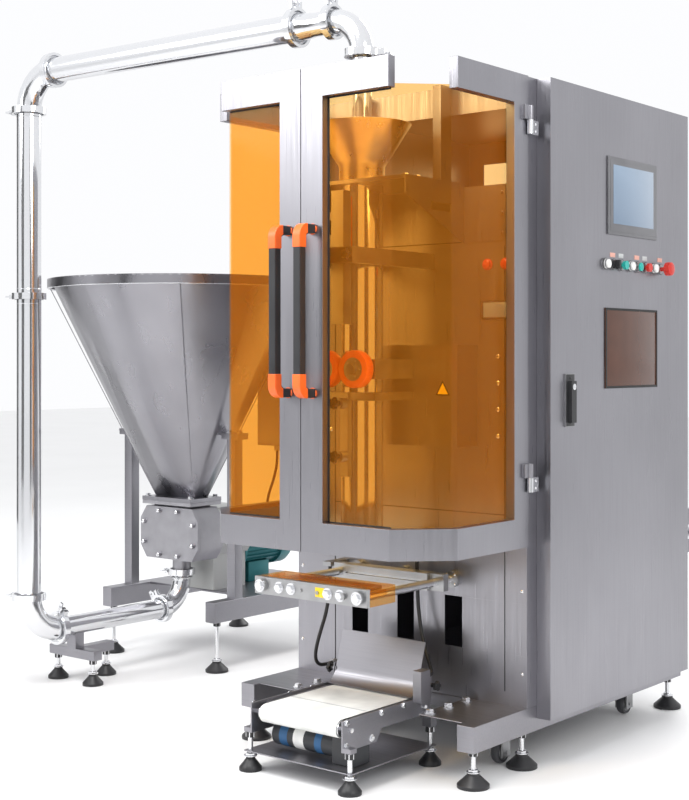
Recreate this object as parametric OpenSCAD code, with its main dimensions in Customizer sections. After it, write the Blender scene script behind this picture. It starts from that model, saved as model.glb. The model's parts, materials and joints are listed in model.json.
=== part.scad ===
// Vertical form fill sealer with a guarded forming section, a pump-fed infeed
// pipe, a hopper station and a small discharge conveyor.
// +X is the control side, -Y the guard side where bags drop, +Z is up.
// Shapes are drawn in the machine's own frame: x 0 and fill_y on the forming tube,
// y 0 on the body's front wall, z 0 on the floor. home() moves them to the origin,
// which is the middle of the whole machine's footprint.

/* [Body] */
// Width of the machine body
body_w = 766; // [680:1:920]
// Depth of the machine body
body_d = 865; // [820:1:1040]
// Height of the body's top above the floor
body_top = 1757; // [1700:1:2100]
// Thickness of the body's sheet
sheet_t = 3; // [2:0.5:5]
// Height of the base frame's underside above the floor
base_z = 90; // [80:1:110]
// Height of the base frame's tubes
base_h = 65; // [50:1:80]
// Width of the base frame's tubes
base_w = 49; // [40:1:60]
// Reach of the base frame in front of the body
fork_reach = 240; // [200:1:290]

/* [Guard doors] */
// Distance from the body's front wall to the guard's front face
guard_reach = 432; // [420:1:520]
// Size of the guard's 45 degree corner
guard_chamfer = 117; // [90:1:140]
// Depth of the door frames
frame_d = 25; // [18:1:32]
// Width of the upright stiles
stile_w = 70; // [55:1:85]
// Height of the top and bottom rails
rail_h = 75; // [60:1:90]
// Height of the guard's lower edge above the floor
guard_z = 565; // [540:1:680]
// Thickness of the window sheet
window_t = 4; // [3:0.5:6]
// Length of the bow handles
handle_len = 424; // [340:1:520]
// Distance from the door to the outside of a handle
handle_reach = 62; // [50:1:75]
// Diameter of a handle's grip
grip_d = 22; // [18:1:28]

/* [Control door] */
// Thickness of the side door that carries the controls
side_door_t = 41; // [34:1:50]
// Width of the touch screen
screen_w = 280; // [230:1:340]
// Height of the touch screen
screen_h = 212; // [170:1:260]
// Distance between neighbouring push buttons
button_pitch = 46; // [40:1:56]
// Diameter of the button bezels
bezel_d = 30; // [24:1:36]

/* [Forming] */
// Outside diameter of the forming tube
tube_d = 110; // [90:1:132]
// Distance from the body's front wall to the forming tube's axis
tube_y = 189; // [180:1:198]
// Diameter of the film pull wheels
wheel_d = 96; // [80:1:116]
// Height of the pull wheels above the floor
wheel_z = 1015; // [980:1:1060]
// Height of the collar shelf above the floor
shelf_z = 1490; // [1450:1:1510]

/* [Sealing jaws] */
// Length of the cross sealing jaws
jaw_l = 366; // [310:1:440]
// Height of the cross sealing jaws
jaw_h = 44; // [36:1:52]
// Height of the jaws' middle above the floor
jaw_z = 463; // [450:1:490]
// Travel of each jaw
jaw_travel = 95; // [80:1:98]
// Diameter of the jaw guide rods
rod_d = 22; // [18:1:27]

/* [Pump station] */
// Distance from the body's control side to the pump's axis
pump_offset = 1663; // [1600:1:1900]
// Distance behind the body's front wall to the pump's axis
pump_y = 408; // [380:1:480]
// Radius of the hopper's rim
hopper_r = 460; // [390:1:540]
// Height of the hopper's rim above the floor
hopper_top = 1312; // [1150:1:1500]
// Distance between the two rotor shafts of the pump
rotor_pitch = 90; // [80:1:100]

/* [Pipes] */
// Outside diameter of the riser and the long top pipe
pipe_d = 76.1; // [63.5:0.1:88.9]
// Outside diameter of the pump outlet pipe and the last elbow
small_pipe_d = 63.5; // [50.8:0.1:70]
// Wall of all pipes
pipe_wall = 2; // [1.5:0.1:3]
// Height of the top pipe's axis above the floor
top_pipe_z = 1930; // [1880:1:2250]
// Distance in front of the body's front wall to the riser's axis
riser_y = 255; // [230:1:300]

/* [Conveyor] */
// Width of the conveyor belt
belt_w = 250; // [210:1:300]
// Distance between the conveyor's roller axes
roller_pitch = 300; // [260:1:330]
// Diameter of the conveyor rollers
roller_d = 40; // [34:1:44]
// Height of the conveyor's roller axes above the floor
roller_z = 148; // [144:1:160]

/* [Hidden] */
$fn = 48;
// Clearance between pieces that seat on each other
gap = 0.3;
// Radial clearance of pins and shafts in their bores
run = 0.05;
// Gap between the panels of one wall
seam = 0.1;
// Overcut that keeps a cut clear of a face
cut = 1;
// Half widths and edges that several pieces share
half = body_w / 2;
base_top = base_z + base_h;
guard_half = half + 7;
guard_y = -guard_reach;
flat_half = guard_half - guard_chamfer;
fill_y = -tube_y;
door_front = 47;
door_back = body_d - 38;
door_bottom = 122;
door_out = half + side_door_t;
control_reach = 36;
pump_x = half - pump_offset;
cradle_reach = 241;
// Middle of the footprint, from the outermost pieces
x_mid = (pump_x - hopper_r + door_out + control_reach) / 2;
y_mid = (guard_y - handle_reach + body_d + cradle_reach) / 2;
// Colours
steel = [0.72, 0.73, 0.75];
amber = [0.95, 0.5, 0.1, 0.5];
black = [0.06, 0.06, 0.07];
orange = [0.95, 0.3, 0.08];
white = [0.93, 0.93, 0.92];

// Move machine frame shapes to the part's origin
module home() translate([-x_mid, -y_mid, 0]) children();
// A block between two corners
module block(x, y, z) translate([x[0], y[0], z[0]])
  cube([x[1] - x[0], y[1] - y[0], z[1] - z[0]]);
// Round bars along each axis, between two stations
module bar_x(x, y, z, d) translate([x[0], y, z]) rotate([0, 90, 0])
  cylinder(h = x[1] - x[0], d = d);
module bar_y(x, y, z, d) translate([x, y[0], z]) rotate([-90, 0, 0])
  cylinder(h = y[1] - y[0], d = d);
module bar_z(x, y, z, d) translate([x, y, z[0]]) cylinder(h = z[1] - z[0], d = d);
// The same shape on both sides of the forming tube
module both_sides() {
  children();
  mirror([1, 0, 0]) children();
}
// Reversed copy of a list
function flip(points) = [for (i = [len(points) - 1:-1:0]) points[i]];

// ---- body ----
channel_t = 4;
deck_x = 200;
deck_y = -214;
caster_x = 300;
caster_ys = [4, body_d - 200];
caster_pad = 35;

// Welded base: two long tubes that reach out as forks, cross channels, decks
module base_frame() color(steel) home() {
  both_sides() {
    difference() {
      block([half - base_w, half], [-fork_reach, body_d], [base_z, base_top]);
      block([half - base_w + channel_t, half - channel_t],
        [-fork_reach + channel_t, body_d + cut],
        [base_z + channel_t, base_top - channel_t]);
    }
    block([deck_x, half - base_w], [deck_y, 0], [base_top - channel_t, base_top]);
    for (y = caster_ys)
      block([caster_x - caster_pad, half - base_w],
        [y - caster_pad - 3, y + caster_pad + 3], [base_z, base_z + channel_t]);
  }
  for (y = [0, body_d / 2, body_d - base_w])
    difference() {
      block([-half + base_w, half - base_w], [y, y + base_w], [base_z + 30, base_top]);
      block([-half + base_w + channel_t, half - base_w - channel_t],
        [y + channel_t, y + base_w - channel_t],
        [base_z + 30 - cut, base_top - channel_t]);
    }
}

film_gap_low = shelf_z;
film_gap_high = body_top - rail_h;
film_gap_half = half - 61;
side_strip = 90;

// Folded body: left side, back, top and bottom, open to the front and to the controls
module cabinet_shell() color(steel) home() difference() {
  block([-half, half], [sheet_t, body_d], [base_top, body_top]);
  block([-half + sheet_t, half - sheet_t], [0, body_d - sheet_t],
    [base_top + sheet_t, body_top - sheet_t]);
  block([half - sheet_t - cut, half + cut], [side_strip, door_back - 40],
    [base_top + 40, body_top - 40]);
  block([-film_gap_half, film_gap_half], [body_d - sheet_t - cut, body_d + cut],
    [film_gap_low, film_gap_high]);
}

slot_w = 56;
slot_pitch = 157;
slot_z = [286, 418];
rod_x = jaw_l / 2 - 25;
cable_arms = [[60, -30, 575], [-216, -60, 470]];
wall_gland = [-248, -14, 190];

// Front wall of the body: panels round the film opening and the three slots
module front_wall() color(steel) home() {
  wall_panel([-half, half], [base_top, slot_z[0] - seam]);
  for (x = [-1, 1] * (slot_pitch + slot_w / 2))
    wall_panel(x < 0 ? [-half, x] : [x, half], slot_z);
  for (x = [-slot_pitch, 0])
    wall_panel([x + slot_w / 2, x + slot_pitch - slot_w / 2], slot_z);
  difference() {
    wall_panel([-half, half], [slot_z[1] + seam, film_gap_low - seam]);
    for (x = [-rod_x, 0, rod_x])
      bar_y(x, [-cut, sheet_t + cut], jaw_z, rod_d + 4);
  }
  both_sides()
    wall_panel([film_gap_half, half], [film_gap_low, film_gap_high - seam]);
  wall_panel([-half, half], [film_gap_high, body_top]);
}
module wall_panel(x, z) block(x, [0, sheet_t], z);

plate_x = 250;

// Mounting plate in the cabinet with its controls, from the bottom to the film path
module electrical_plate() color(white) home() {
  block([plate_x, plate_x + 3], [130, body_d - sheet_t], [base_top + sheet_t, 1440]);
  for (row = [0:3])
    for (i = [0:4])
      block([plate_x + 3, plate_x + 60 - 8 * row],
        [180 + 120 * i, 270 + 120 * i], [420 + 250 * row, 540 + 250 * row - 20 * i]);
  for (z = [360, 610, 860, 1110, 1340])
    block([plate_x + 3, plate_x + 43], [160, 780], [z, z + 35]);
}

// ---- control door ----
skin_t = 2;
screen_y = 480;
screen_mid_z = 1484;
view_y = 476;
view_z = 1070;
view_w = 298;
view_h = 218;
button_z = 1297;
button_y0 = 324;
lock_y = 137;
lock_z = 934;
lock_w = 45;
lock_h = 137;
lamp_slots = [0, 3, 6];
button_hole = 22;
function button_y(i) = button_y0 + i * button_pitch;
// Which of the eight stations holds each control
selector_at = 1;
start_at = 2;
spare_at = 4;
stop_at = 5;
emergency_at = 7;

// Folded tray door over the body's control side, with cut-outs and hinge knuckles
module electrical_door() color(steel) home() difference() {
  union() {
    difference() {
      block([half + gap, door_out], [door_front, door_back], [door_bottom, body_top]);
      block([half - cut, door_out - skin_t],
        [door_front + skin_t, door_back - skin_t],
        [door_bottom + skin_t, body_top - skin_t]);
    }
    for (z = side_hinge_zs)
      side_knuckle(z + knuckle_h + gap);
  }
  for (z = side_hinge_zs)
    bar_z(side_hinge_x, side_hinge_y, [z + knuckle_h - cut, z + 2 * knuckle_h + cut],
      pin_d + 2 * run);
  block([half, door_out + cut],
    [screen_y - screen_w / 2 + 10, screen_y + screen_w / 2 - 10],
    [screen_mid_z - screen_h / 2 + 10, screen_mid_z + screen_h / 2 - 10]);
  block([half, door_out + cut], [view_y - view_w / 2 + 12, view_y + view_w / 2 - 12],
    [view_z - view_h / 2 + 12, view_z + view_h / 2 - 12]);
  for (i = [0:7])
    bar_x([door_out - skin_t - cut, door_out + cut], button_y(i), button_z, button_hole);
  block([half, door_out + cut], [lock_y - 12, lock_y + 12], [lock_z - 50, lock_z + 50]);
}

// Touch screen and inspection window, each a panel on the door's face
module door_displays() color([0.12, 0.13, 0.15]) home() {
  block([door_out, door_out + 6], [screen_y - screen_w / 2, screen_y + screen_w / 2],
    [screen_mid_z - screen_h / 2, screen_mid_z + screen_h / 2]);
  block([door_out, door_out + 4], [view_y - view_w / 2, view_y + view_w / 2],
    [view_z - view_h / 2, view_z + view_h / 2]);
}

// Bezels of the eight stations, three lamps and one blank, and the lock's plate
module door_fittings() color([0.6, 0.6, 0.62]) home() {
  for (i = [0:7])
    difference() {
      union() {
        bar_x([door_out, door_out + 5], button_y(i), button_z, bezel_d);
        bar_x([door_out - 10, door_out + 5], button_y(i), button_z, button_hole - 2 * gap);
      }
      if (i == selector_at || i == start_at || i == stop_at || i == emergency_at)
        bar_x([door_out - 11, door_out + 6], button_y(i), button_z, stem_d + 2 * run);
    }
  for (i = concat(lamp_slots, [spare_at]))
    bar_x([door_out + 5, door_out + 12], button_y(i), button_z, bezel_d - 6);
  difference() {
    block([door_out, door_out + 5], [lock_y - lock_w / 2, lock_y + lock_w / 2],
      [lock_z - lock_h / 2, lock_z + lock_h / 2]);
    bar_x([door_out - cut, door_out + 6], lock_y, lock_z + 35, stem_d + 2 * run);
  }
}

stem_d = 12;
// Lever on its spindle in the lock's plate
module lock_lever() color(black) home() {
  bar_x([door_out - 12, door_out + 8], lock_y, lock_z + 35, stem_d);
  block([door_out + 5 + gap, door_out + 17], [lock_y - 12, lock_y + 12],
    [lock_z - 58, lock_z + 50]);
}

// A button: a cap proud of its bezel on a stem through it
module push_control(i, reach, cap_d, cap_t) {
  bar_x([door_out - 16, door_out + reach - cap_t + cut], button_y(i), button_z, stem_d);
  bar_x([door_out + reach - cap_t, door_out + reach], button_y(i), button_z, cap_d);
}
module start_button() color([0.1, 0.6, 0.55]) home()
  push_control(start_at, 20, bezel_d - 6, 9);
module stop_button() color([0.6, 0.12, 0.1]) home()
  push_control(stop_at, 20, bezel_d - 6, 9);
module emergency_stop() color([0.85, 0.1, 0.08]) home()
  push_control(emergency_at, control_reach, bezel_d + 8, 14);
module selector_knob() color(black) home() {
  bar_x([door_out - 16, door_out + 12], button_y(selector_at), button_z, stem_d);
  bar_x([door_out + 5 + gap, door_out + 12], button_y(selector_at), button_z, bezel_d - 6);
  block([door_out + 11, door_out + 24], [button_y(selector_at) - 4, button_y(selector_at) + 4],
    [button_z - 12, button_z + 12]);
}

// ---- hinges ----
pin_d = 8;
knuckle_d = 16;
knuckle_h = 36;
guard_hinge_x = guard_half + knuckle_d / 2 + 1;
guard_hinge_y = -knuckle_d / 2 - 1;
guard_hinge_zs = [guard_z + 140, film_gap_high - 74];
side_hinge_x = door_out - 20;
side_hinge_y = door_back + knuckle_d / 2 + 3;
side_hinge_zs = [320, 900, 1500];

// Knuckle of the side door with the tab that joins it to the door's end
module side_knuckle(z) {
  bar_z(side_hinge_x, side_hinge_y, [z, z + knuckle_h - gap], knuckle_d);
  block([side_hinge_x - 6, side_hinge_x + 6], [door_back - skin_t, side_hinge_y - 5],
    [z, z + knuckle_h - gap]);
}

// Fixed hinge halves: knuckle, its pin and the arm to the body
module hinge_pins() color(steel) home() {
  both_sides()
    for (z = guard_hinge_zs) {
      bar_z(guard_hinge_x, guard_hinge_y, [z, z + knuckle_h], knuckle_d);
      bar_z(guard_hinge_x, guard_hinge_y, [z + knuckle_h - cut, z + 2 * knuckle_h], pin_d);
      block([half, guard_hinge_x], [door_rear + 1, 30], [z, z + knuckle_h]);
    }
  for (z = side_hinge_zs) {
    bar_z(side_hinge_x, side_hinge_y, [z, z + knuckle_h], knuckle_d);
    bar_z(side_hinge_x, side_hinge_y, [z + knuckle_h - cut, z + 2 * knuckle_h], pin_d);
    block([half, side_hinge_x], [side_hinge_y - 4, side_hinge_y + 8], [z, z + knuckle_h]);
  }
}

// ---- guard doors ----
door_gap = 1;
door_rear = -3;
mitre = tan(22.5);
handle_x = 40;
handle_mid = 1158;

// Plan line of the right guard door, moved inwards by d
function door_line(d, x0, y1) = [[x0, guard_y + d],
  [flat_half - d * mitre, guard_y + d],
  [guard_half - d, guard_y + guard_chamfer + d * mitre],
  [guard_half - d, y1]];
// Upright slab that follows the plan line between two depths
module door_band(d, x0, y1, z) translate([0, 0, z[0]])
  linear_extrude(z[1] - z[0])
    polygon(concat(door_line(d[0], x0, y1), flip(door_line(d[1], x0, y1))));
// Frame outline grown inwards by e on every side, for the channel's inside
module frame_blank(e, depth) {
  d = [e, depth];
  door_band(d, door_gap + e, door_rear - e, [guard_z + e, guard_z + rail_h - e]);
  block([door_gap + e, stile_w - e], [guard_y + e, guard_y + depth],
    [guard_z + e, body_top - e]);
  block([door_gap + e, flat_half - e], [guard_y + e, guard_y + depth],
    [body_top - rail_h + e, body_top - e]);
  block([guard_half - depth, guard_half - e], [door_rear - 65 + e, door_rear - e],
    [guard_z + e, body_top - e]);
  block([guard_half - depth, guard_half - e],
    [guard_y + guard_chamfer + e, door_rear - e],
    [body_top - rail_h + e, body_top - e]);
}
// Channel frame of the right guard door with its hinge knuckles
module guard_frame() difference() {
  union() {
    difference() {
      frame_blank(0, frame_d);
      frame_blank(skin_t, frame_d + cut);
    }
    for (z = guard_hinge_zs) {
      bar_z(guard_hinge_x, guard_hinge_y,
        [z + knuckle_h + gap, z + 2 * knuckle_h], knuckle_d);
      block([guard_half - skin_t, guard_hinge_x], [guard_hinge_y - 24, guard_hinge_y],
        [z + knuckle_h + gap, z + 2 * knuckle_h]);
    }
  }
  for (z = guard_hinge_zs)
    bar_z(guard_hinge_x, guard_hinge_y, [z + knuckle_h - cut, z + 2 * knuckle_h + cut],
      pin_d + 2 * run);
}
window_lap = 12;
// Bent window sheet behind the frame
module guard_window() door_band([frame_d, frame_d + window_t],
  stile_w - window_lap, door_rear - 65 + window_lap,
  [guard_z + rail_h - window_lap, film_gap_high + window_lap]);
// Rounded outline in the y-z plane, drawn as x outwards and y up
module round_slab(w, h, r) {
  translate([r, 0]) square([w - r, h]);
  translate([0, r]) square([w, h - 2 * r]);
  for (y = [r, h - r])
    translate([r, y]) circle(r);
}
// Bow handle: a flat bow with round corners that stands on the stile
module guard_handle() translate([handle_x - grip_d / 2, 0, handle_mid - handle_len / 2])
  rotate([90, 0, 90]) linear_extrude(grip_d)
    translate([guard_y - handle_reach, 0]) difference() {
      round_slab(handle_reach, handle_len, handle_reach * 0.5);
      translate([grip_d, grip_d])
        round_slab(handle_reach, handle_len - 2 * grip_d, handle_reach * 0.3);
    }
module guard_frame_right() color(steel) home() guard_frame();
module guard_window_right() color(amber) home() guard_window();
module guard_handle_right() color(black) home() guard_handle();
module guard_frame_left() color(steel) home() mirror([1, 0, 0]) guard_frame();
module guard_window_left() color(amber) home() mirror([1, 0, 0]) guard_window();
module guard_handle_left() color(black) home() mirror([1, 0, 0]) guard_handle();

// ---- forming section ----
gusset_x = 192;
shelf_front = fill_y - tube_d / 2 - 12;
shelf_t = 10;
upright_x = [124, 150];
cover_x = [-110, 235];
cover_y = -95;
cover_z = [815, 1077];
tube_bottom = 560;
collar_low = shelf_z + shelf_t;
collar_z = [collar_low + 40, collar_low + 150];
collar_flare = 70;
sleeve_t = 5;

// Shelf for the forming collar, with gussets, wall plate and two uprights
module collar_mount() color(steel) home() {
  difference() {
    block([-gusset_x, gusset_x], [shelf_front, 0], [shelf_z, shelf_z + shelf_t]);
    bar_z(0, fill_y, [shelf_z - cut, shelf_z + shelf_t + cut], tube_d + 2 * gap);
  }
  both_sides() {
    translate([gusset_x, 0, 0]) rotate([90, 0, -90])
      linear_extrude(4) difference() {
        polygon([[0, shelf_z - 147], [0, shelf_z - seam],
          [-shelf_front, shelf_z - seam], [-shelf_front, shelf_z - 37]]);
        translate([60, shelf_z - 70]) square([90, 22]);
      }
    block([gusset_x + seam, film_gap_half], [-sheet_t, 0],
      [shelf_z - 145, shelf_z - 3]);
    for (z = [shelf_z - 125, shelf_z - 74, shelf_z - 22])
      bar_y(film_gap_half - 14, [-8, -sheet_t + 1], z, 10);
    block(upright_x, [-47, 0], [shelf_z + shelf_t + seam, body_top]);
  }
}

// Sheet cover over the film drive, open to the wall, with a screwed flange
module drive_cover() color(steel) home() {
  difference() {
    block(cover_x, [cover_y, 0], cover_z);
    block([cover_x[0] + skin_t, cover_x[1] - skin_t], [cover_y + skin_t, cut],
      [cover_z[0] + skin_t, cover_z[1] - skin_t]);
  }
  block([cover_x[1] - 1, cover_x[1] + 82], [-sheet_t, 0], cover_z);
  for (i = [0:3])
    bar_y(cover_x[1] + 66, [-8, -sheet_t + 1], cover_z[0] + 28 + 68 * i, 10);
}

// Tube that the film is wrapped round
module forming_tube() color(steel) home() difference() {
  bar_z(0, fill_y, [tube_bottom, collar_z[1] - 60], tube_d);
  bar_z(0, fill_y, [tube_bottom - cut, collar_z[1]], tube_d - 3);
}

// Collar: a sleeve on the shelf and a flared shoulder cut off at a slope
module forming_collar() color([0.85, 0.78, 0.6]) home() translate([0, fill_y, 0])
  difference() {
    union() {
      translate([0, 0, collar_low])
        cylinder(h = collar_z[0] - collar_low, d = tube_d + 2 * sleeve_t);
      translate([0, 0, collar_z[0] - 1])
        cylinder(h = collar_z[1] - collar_z[0], d1 = tube_d + 2 * sleeve_t,
          d2 = tube_d + 2 * sleeve_t + 2 * collar_flare);
    }
    translate([0, 0, collar_low - cut])
      cylinder(h = collar_z[1], d = tube_d + 2 * gap);
    translate([0, 0, collar_z[0] + 2])
      cylinder(h = collar_z[1] - collar_z[0], d1 = tube_d + 2 * gap,
        d2 = tube_d + 2 * gap + 2 * collar_flare);
    translate([-300, -300, collar_z[0] + 40]) rotate([22, 0, 0])
      translate([0, 0, 30]) cube([600, 700, 400]);
  }

wheel_w = 28;
wheel_x = wheel_d / 2 + gap;
arm_x = [76, 96];
wheel_back = fill_y - tube_d / 2 - 16;
carrier_y = [wheel_back + 3, wheel_back + 13];
seal_z = [1130, 1470];
seal_mid = 1300;
seal_y = [wheel_back - 30, wheel_back];
seal_plate_y = seal_y[0] - 50;
rail_z = [740, 955];

// Arms beside the tube with the wheel carriers, guide rail and seal cylinder
module film_brackets() color([0.66, 0.67, 0.7]) home() {
  both_sides() {
    difference() {
      union() {
        block(arm_x, [carrier_y[0], cover_y], [wheel_z - 25, wheel_z + 25]);
        block([24, arm_x[1]], carrier_y, [wheel_z - 25, wheel_z + 25]);
      }
      bar_y(wheel_x, [carrier_y[0] - cut, carrier_y[1] + cut], wheel_z, stem_d + 2 * run);
    }
    block([arm_x[0], arm_x[1]], [seal_plate_y, 0], [seal_mid - 20, seal_mid + 20]);
  }
  difference() {
    union() {
      block([-arm_x[1], arm_x[1]], [seal_plate_y - 8, seal_plate_y],
        [seal_mid - 20, seal_mid + 20]);
      bar_y(0, [seal_plate_y - 34, seal_plate_y - 7], seal_mid, 40);
    }
    bar_y(0, [seal_plate_y - 30, seal_plate_y + cut], seal_mid, 10 + 2 * run);
  }
  block([-arm_x[1], arm_x[1]], [carrier_y[0], carrier_y[1]], [rail_z[1] - 20, rail_z[1]]);
  block([-12, 12], [carrier_y[0] - 6, carrier_y[1]], rail_z);
  block([arm_x[0], arm_x[1]], [carrier_y[0], cover_y], [rail_z[1] - 20, rail_z[1]]);
  mirror([1, 0, 0])
    block([arm_x[0], arm_x[1]], [carrier_y[0], cover_y], [rail_z[1] - 20, rail_z[1]]);
  for (z = [792, 928])
    bar_y(0, [carrier_y[0] - 30, carrier_y[0] - 6], z, 30);
}

// Pull wheel with its tyre and short shaft
module pull_wheel(side) {
  bar_y(side * wheel_x, [wheel_back - wheel_w, wheel_back], wheel_z, wheel_d);
  bar_y(side * wheel_x, [wheel_back - wheel_w - 12, wheel_back - wheel_w + 1], wheel_z, 26);
  bar_y(side * wheel_x, [wheel_back - 1, carrier_y[1]], wheel_z, stem_d);
}
module pull_wheel_left() color(orange) home() pull_wheel(-1);
module pull_wheel_right() color(orange) home() pull_wheel(1);

// Heated bar for the long seal, on its piston rod
module vertical_seal_bar() color([0.8, 0.78, 0.72]) home() {
  block([-20, 20], seal_y, seal_z);
  bar_y(0, [seal_plate_y - 22, seal_y[0] + 1], seal_mid, 10);
}

// ---- cross sealing jaws ----
close_y = fill_y;
front_face = close_y - jaw_travel - 1;
rear_face = close_y + jaw_travel;
jaw_low = jaw_z - jaw_h / 2;
jaw_high = jaw_z + jaw_h / 2;
plate_y = front_face - 115;
bar_half = rod_x - rod_d / 2 - 7;
crosshead_y = 250;
cylinder_y = crosshead_y + 20 + jaw_travel + 12;
ram_d = 18;
blade_t = 3;

// Front jaw: outer plate, heated bar, the two spacers between them and bolt heads
module front_jaw() color([0.8, 0.8, 0.82]) home() {
  difference() {
    block([-jaw_l / 2, jaw_l / 2], [plate_y, plate_y + 12], [jaw_low, jaw_high]);
    for (x = [-rod_x, rod_x])
      bar_y(x, [plate_y - cut, plate_y + 13], jaw_z, 12 + 2 * gap);
  }
  difference() {
    block([-bar_half, bar_half], [front_face - 45, front_face],
      [jaw_low + 5, jaw_high - 6]);
    block([-bar_half + 8, bar_half - 8], [front_face - 24, front_face + cut],
      [jaw_z - blade_t, jaw_z + blade_t]);
  }
  for (x = [-bar_half + 30, bar_half - 30])
    bar_y(x, [plate_y - 8, front_face - 44], jaw_z, 18);
  for (x = [-28, 28])
    bar_y(x, [plate_y - 4, plate_y + 1], jaw_z, 9);
}

// Clear cover over the front jaw: a top and two ends
module jaw_guard() color(amber) home() {
  block([-jaw_l / 2, jaw_l / 2], [plate_y + 12, front_face], [jaw_high - 3, jaw_high]);
  both_sides()
    block([jaw_l / 2 - 3, jaw_l / 2], [plate_y + 12, front_face], [jaw_low, jaw_high]);
}

// Guide rods of the front jaw, their nuts, the crosshead behind and its piston rod
module jaw_rods() color([0.82, 0.76, 0.6]) home() {
  for (x = [-rod_x, rod_x]) {
    bar_y(x, [plate_y + 12, crosshead_y + 1], jaw_z, rod_d);
    bar_y(x, [plate_y - 10, plate_y + 13], jaw_z, 12);
    bar_y(x, [plate_y - 10, plate_y], jaw_z, 22);
  }
  block([-jaw_l / 2, jaw_l / 2], [crosshead_y, crosshead_y + 20], [jaw_low, jaw_high]);
  bar_y(0, [crosshead_y + 19, cylinder_y + 40], jaw_z, ram_d);
}

// Rear jaw on the rods, with the knife's slot and the push rod through the wall
module rear_jaw() color([0.8, 0.8, 0.82]) home() {
  difference() {
    union() {
      block([-bar_half, bar_half], [rear_face, rear_face + 40], [jaw_low, jaw_high]);
      block([-jaw_l / 2, jaw_l / 2], [rear_face + 12, rear_face + 34],
        [jaw_low, jaw_high]);
    }
    for (x = [-rod_x, rod_x])
      bar_y(x, [rear_face - cut, rear_face + 41], jaw_z, rod_d + 2 * run);
    block([-bar_half + 8, bar_half - 8], [rear_face - cut, rear_face + 30],
      [jaw_z - blade_t / 2 - gap, jaw_z + blade_t / 2 + gap]);
  }
  bar_y(0, [rear_face + 39, rear_face + 244], jaw_z, ram_d);
}

// Knife in the rear jaw
module cutter_blade() color([0.85, 0.85, 0.87]) home()
  block([-bar_half + 10, bar_half - 10], [rear_face + 4, rear_face + 28],
    [jaw_z - blade_t / 2, jaw_z + blade_t / 2]);

// Flanged bushes and cable arms on the wall, and the jaw cylinder on its bracket
module jaw_drive() color([0.62, 0.63, 0.66]) home() {
  for (p = cable_arms)
    block([p[0] - 14, p[0] + 14], [p[1] - 14, 0], [p[2], p[2] + 12]);
  bar_y(wall_gland[0], [wall_gland[1], 0], wall_gland[2], 20);
  for (x = [-rod_x, rod_x])
    difference() {
      bar_y(x, [-14, 0], jaw_z, rod_d + 22);
      bar_y(x, [-15, cut], jaw_z, rod_d + 2 * run);
    }
  difference() {
    bar_y(0, [-14, 0], jaw_z, ram_d + 22);
    bar_y(0, [-15, cut], jaw_z, ram_d + 2 * run);
  }
  difference() {
    bar_y(0, [cylinder_y, cylinder_y + 190], jaw_z, 64);
    bar_y(0, [cylinder_y - cut, cylinder_y + 180], jaw_z, ram_d + 2 * run);
  }
  difference() {
    block([-45, 45], [cylinder_y + 192, cylinder_y + 204], [base_top + sheet_t, jaw_z + 45]);
    bar_y(0, [cylinder_y + 191, cylinder_y + 205], jaw_z, 20);
  }
  bar_y(0, [cylinder_y + 189, cylinder_y + 210], jaw_z, 20 - 2 * run);
}

// ---- film unwind at the back ----
unwind_x = [290, 302];
shaft_y = body_d + 185;
shaft_z = 500;
dancer_y = body_d + 65;
dancer_z = 900;
dancer_end = [body_d + 190, 820];
roller_y = body_d + 42;
guide_z = shelf_z + 60;
film_roller_d = 40;

// Side arms that carry the film shaft, the dancer and the guide roller
module film_cradle() color(steel) home() both_sides() {
  difference() {
    block(unwind_x, [body_d, body_d + cradle_reach], [shaft_z - 70, shaft_z + 70]);
    bar_x([unwind_x[0] - cut, unwind_x[1] + cut], shaft_y, shaft_z, 30 + 2 * run);
  }
  difference() {
    block(unwind_x, [body_d, dancer_y + 25], [dancer_z - 25, dancer_z + 25]);
    bar_x([unwind_x[0] - cut, unwind_x[1] + cut], dancer_y, dancer_z, 16 + 2 * run);
  }
  difference() {
    block(unwind_x, [body_d, roller_y + 20], [guide_z - 20, guide_z + 20]);
    bar_x([unwind_x[0] - cut, unwind_x[1] + cut], roller_y, guide_z, 12 + 2 * run);
  }
}

// Shaft for the film reel, with its two clamping cones and end collars
module film_shaft() color([0.78, 0.78, 0.8]) home() {
  bar_x([-330, 330], shaft_y, shaft_z, 30);
  both_sides() {
    translate([200, shaft_y, shaft_z]) rotate([0, 90, 0])
      cylinder(h = 40, d1 = 50, d2 = 90);
    bar_x([239, 260], shaft_y, shaft_z, 90);
    bar_x([unwind_x[1] + gap, unwind_x[1] + 18], shaft_y, shaft_z, 46);
  }
}

// Dancer: pivot shaft, two arms and the film roller between them
module dancer_arm() color([0.78, 0.78, 0.8]) home() {
  reach = [dancer_end[0] - dancer_y, dancer_end[1] - dancer_z];
  bar_x([-unwind_x[1] - 8, unwind_x[1] + 8], dancer_y, dancer_z, 16);
  both_sides()
    translate([unwind_x[0] - 18, dancer_y, dancer_z])
      rotate([atan2(reach[1], reach[0]), 0, 0])
        translate([0, -16, -16]) cube([10, norm(reach) + 32, 32]);
  bar_x([-unwind_x[0] + 17, unwind_x[0] - 17], dancer_end[0], dancer_end[1],
    film_roller_d);
}

// Roller that leads the film into the body
module guide_roller() color([0.78, 0.78, 0.8]) home() {
  bar_x([-unwind_x[0] + gap, unwind_x[0] - gap], roller_y, guide_z, film_roller_d);
  bar_x([-unwind_x[1] - 6, unwind_x[1] + 6], roller_y, guide_z, 12);
}

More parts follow.
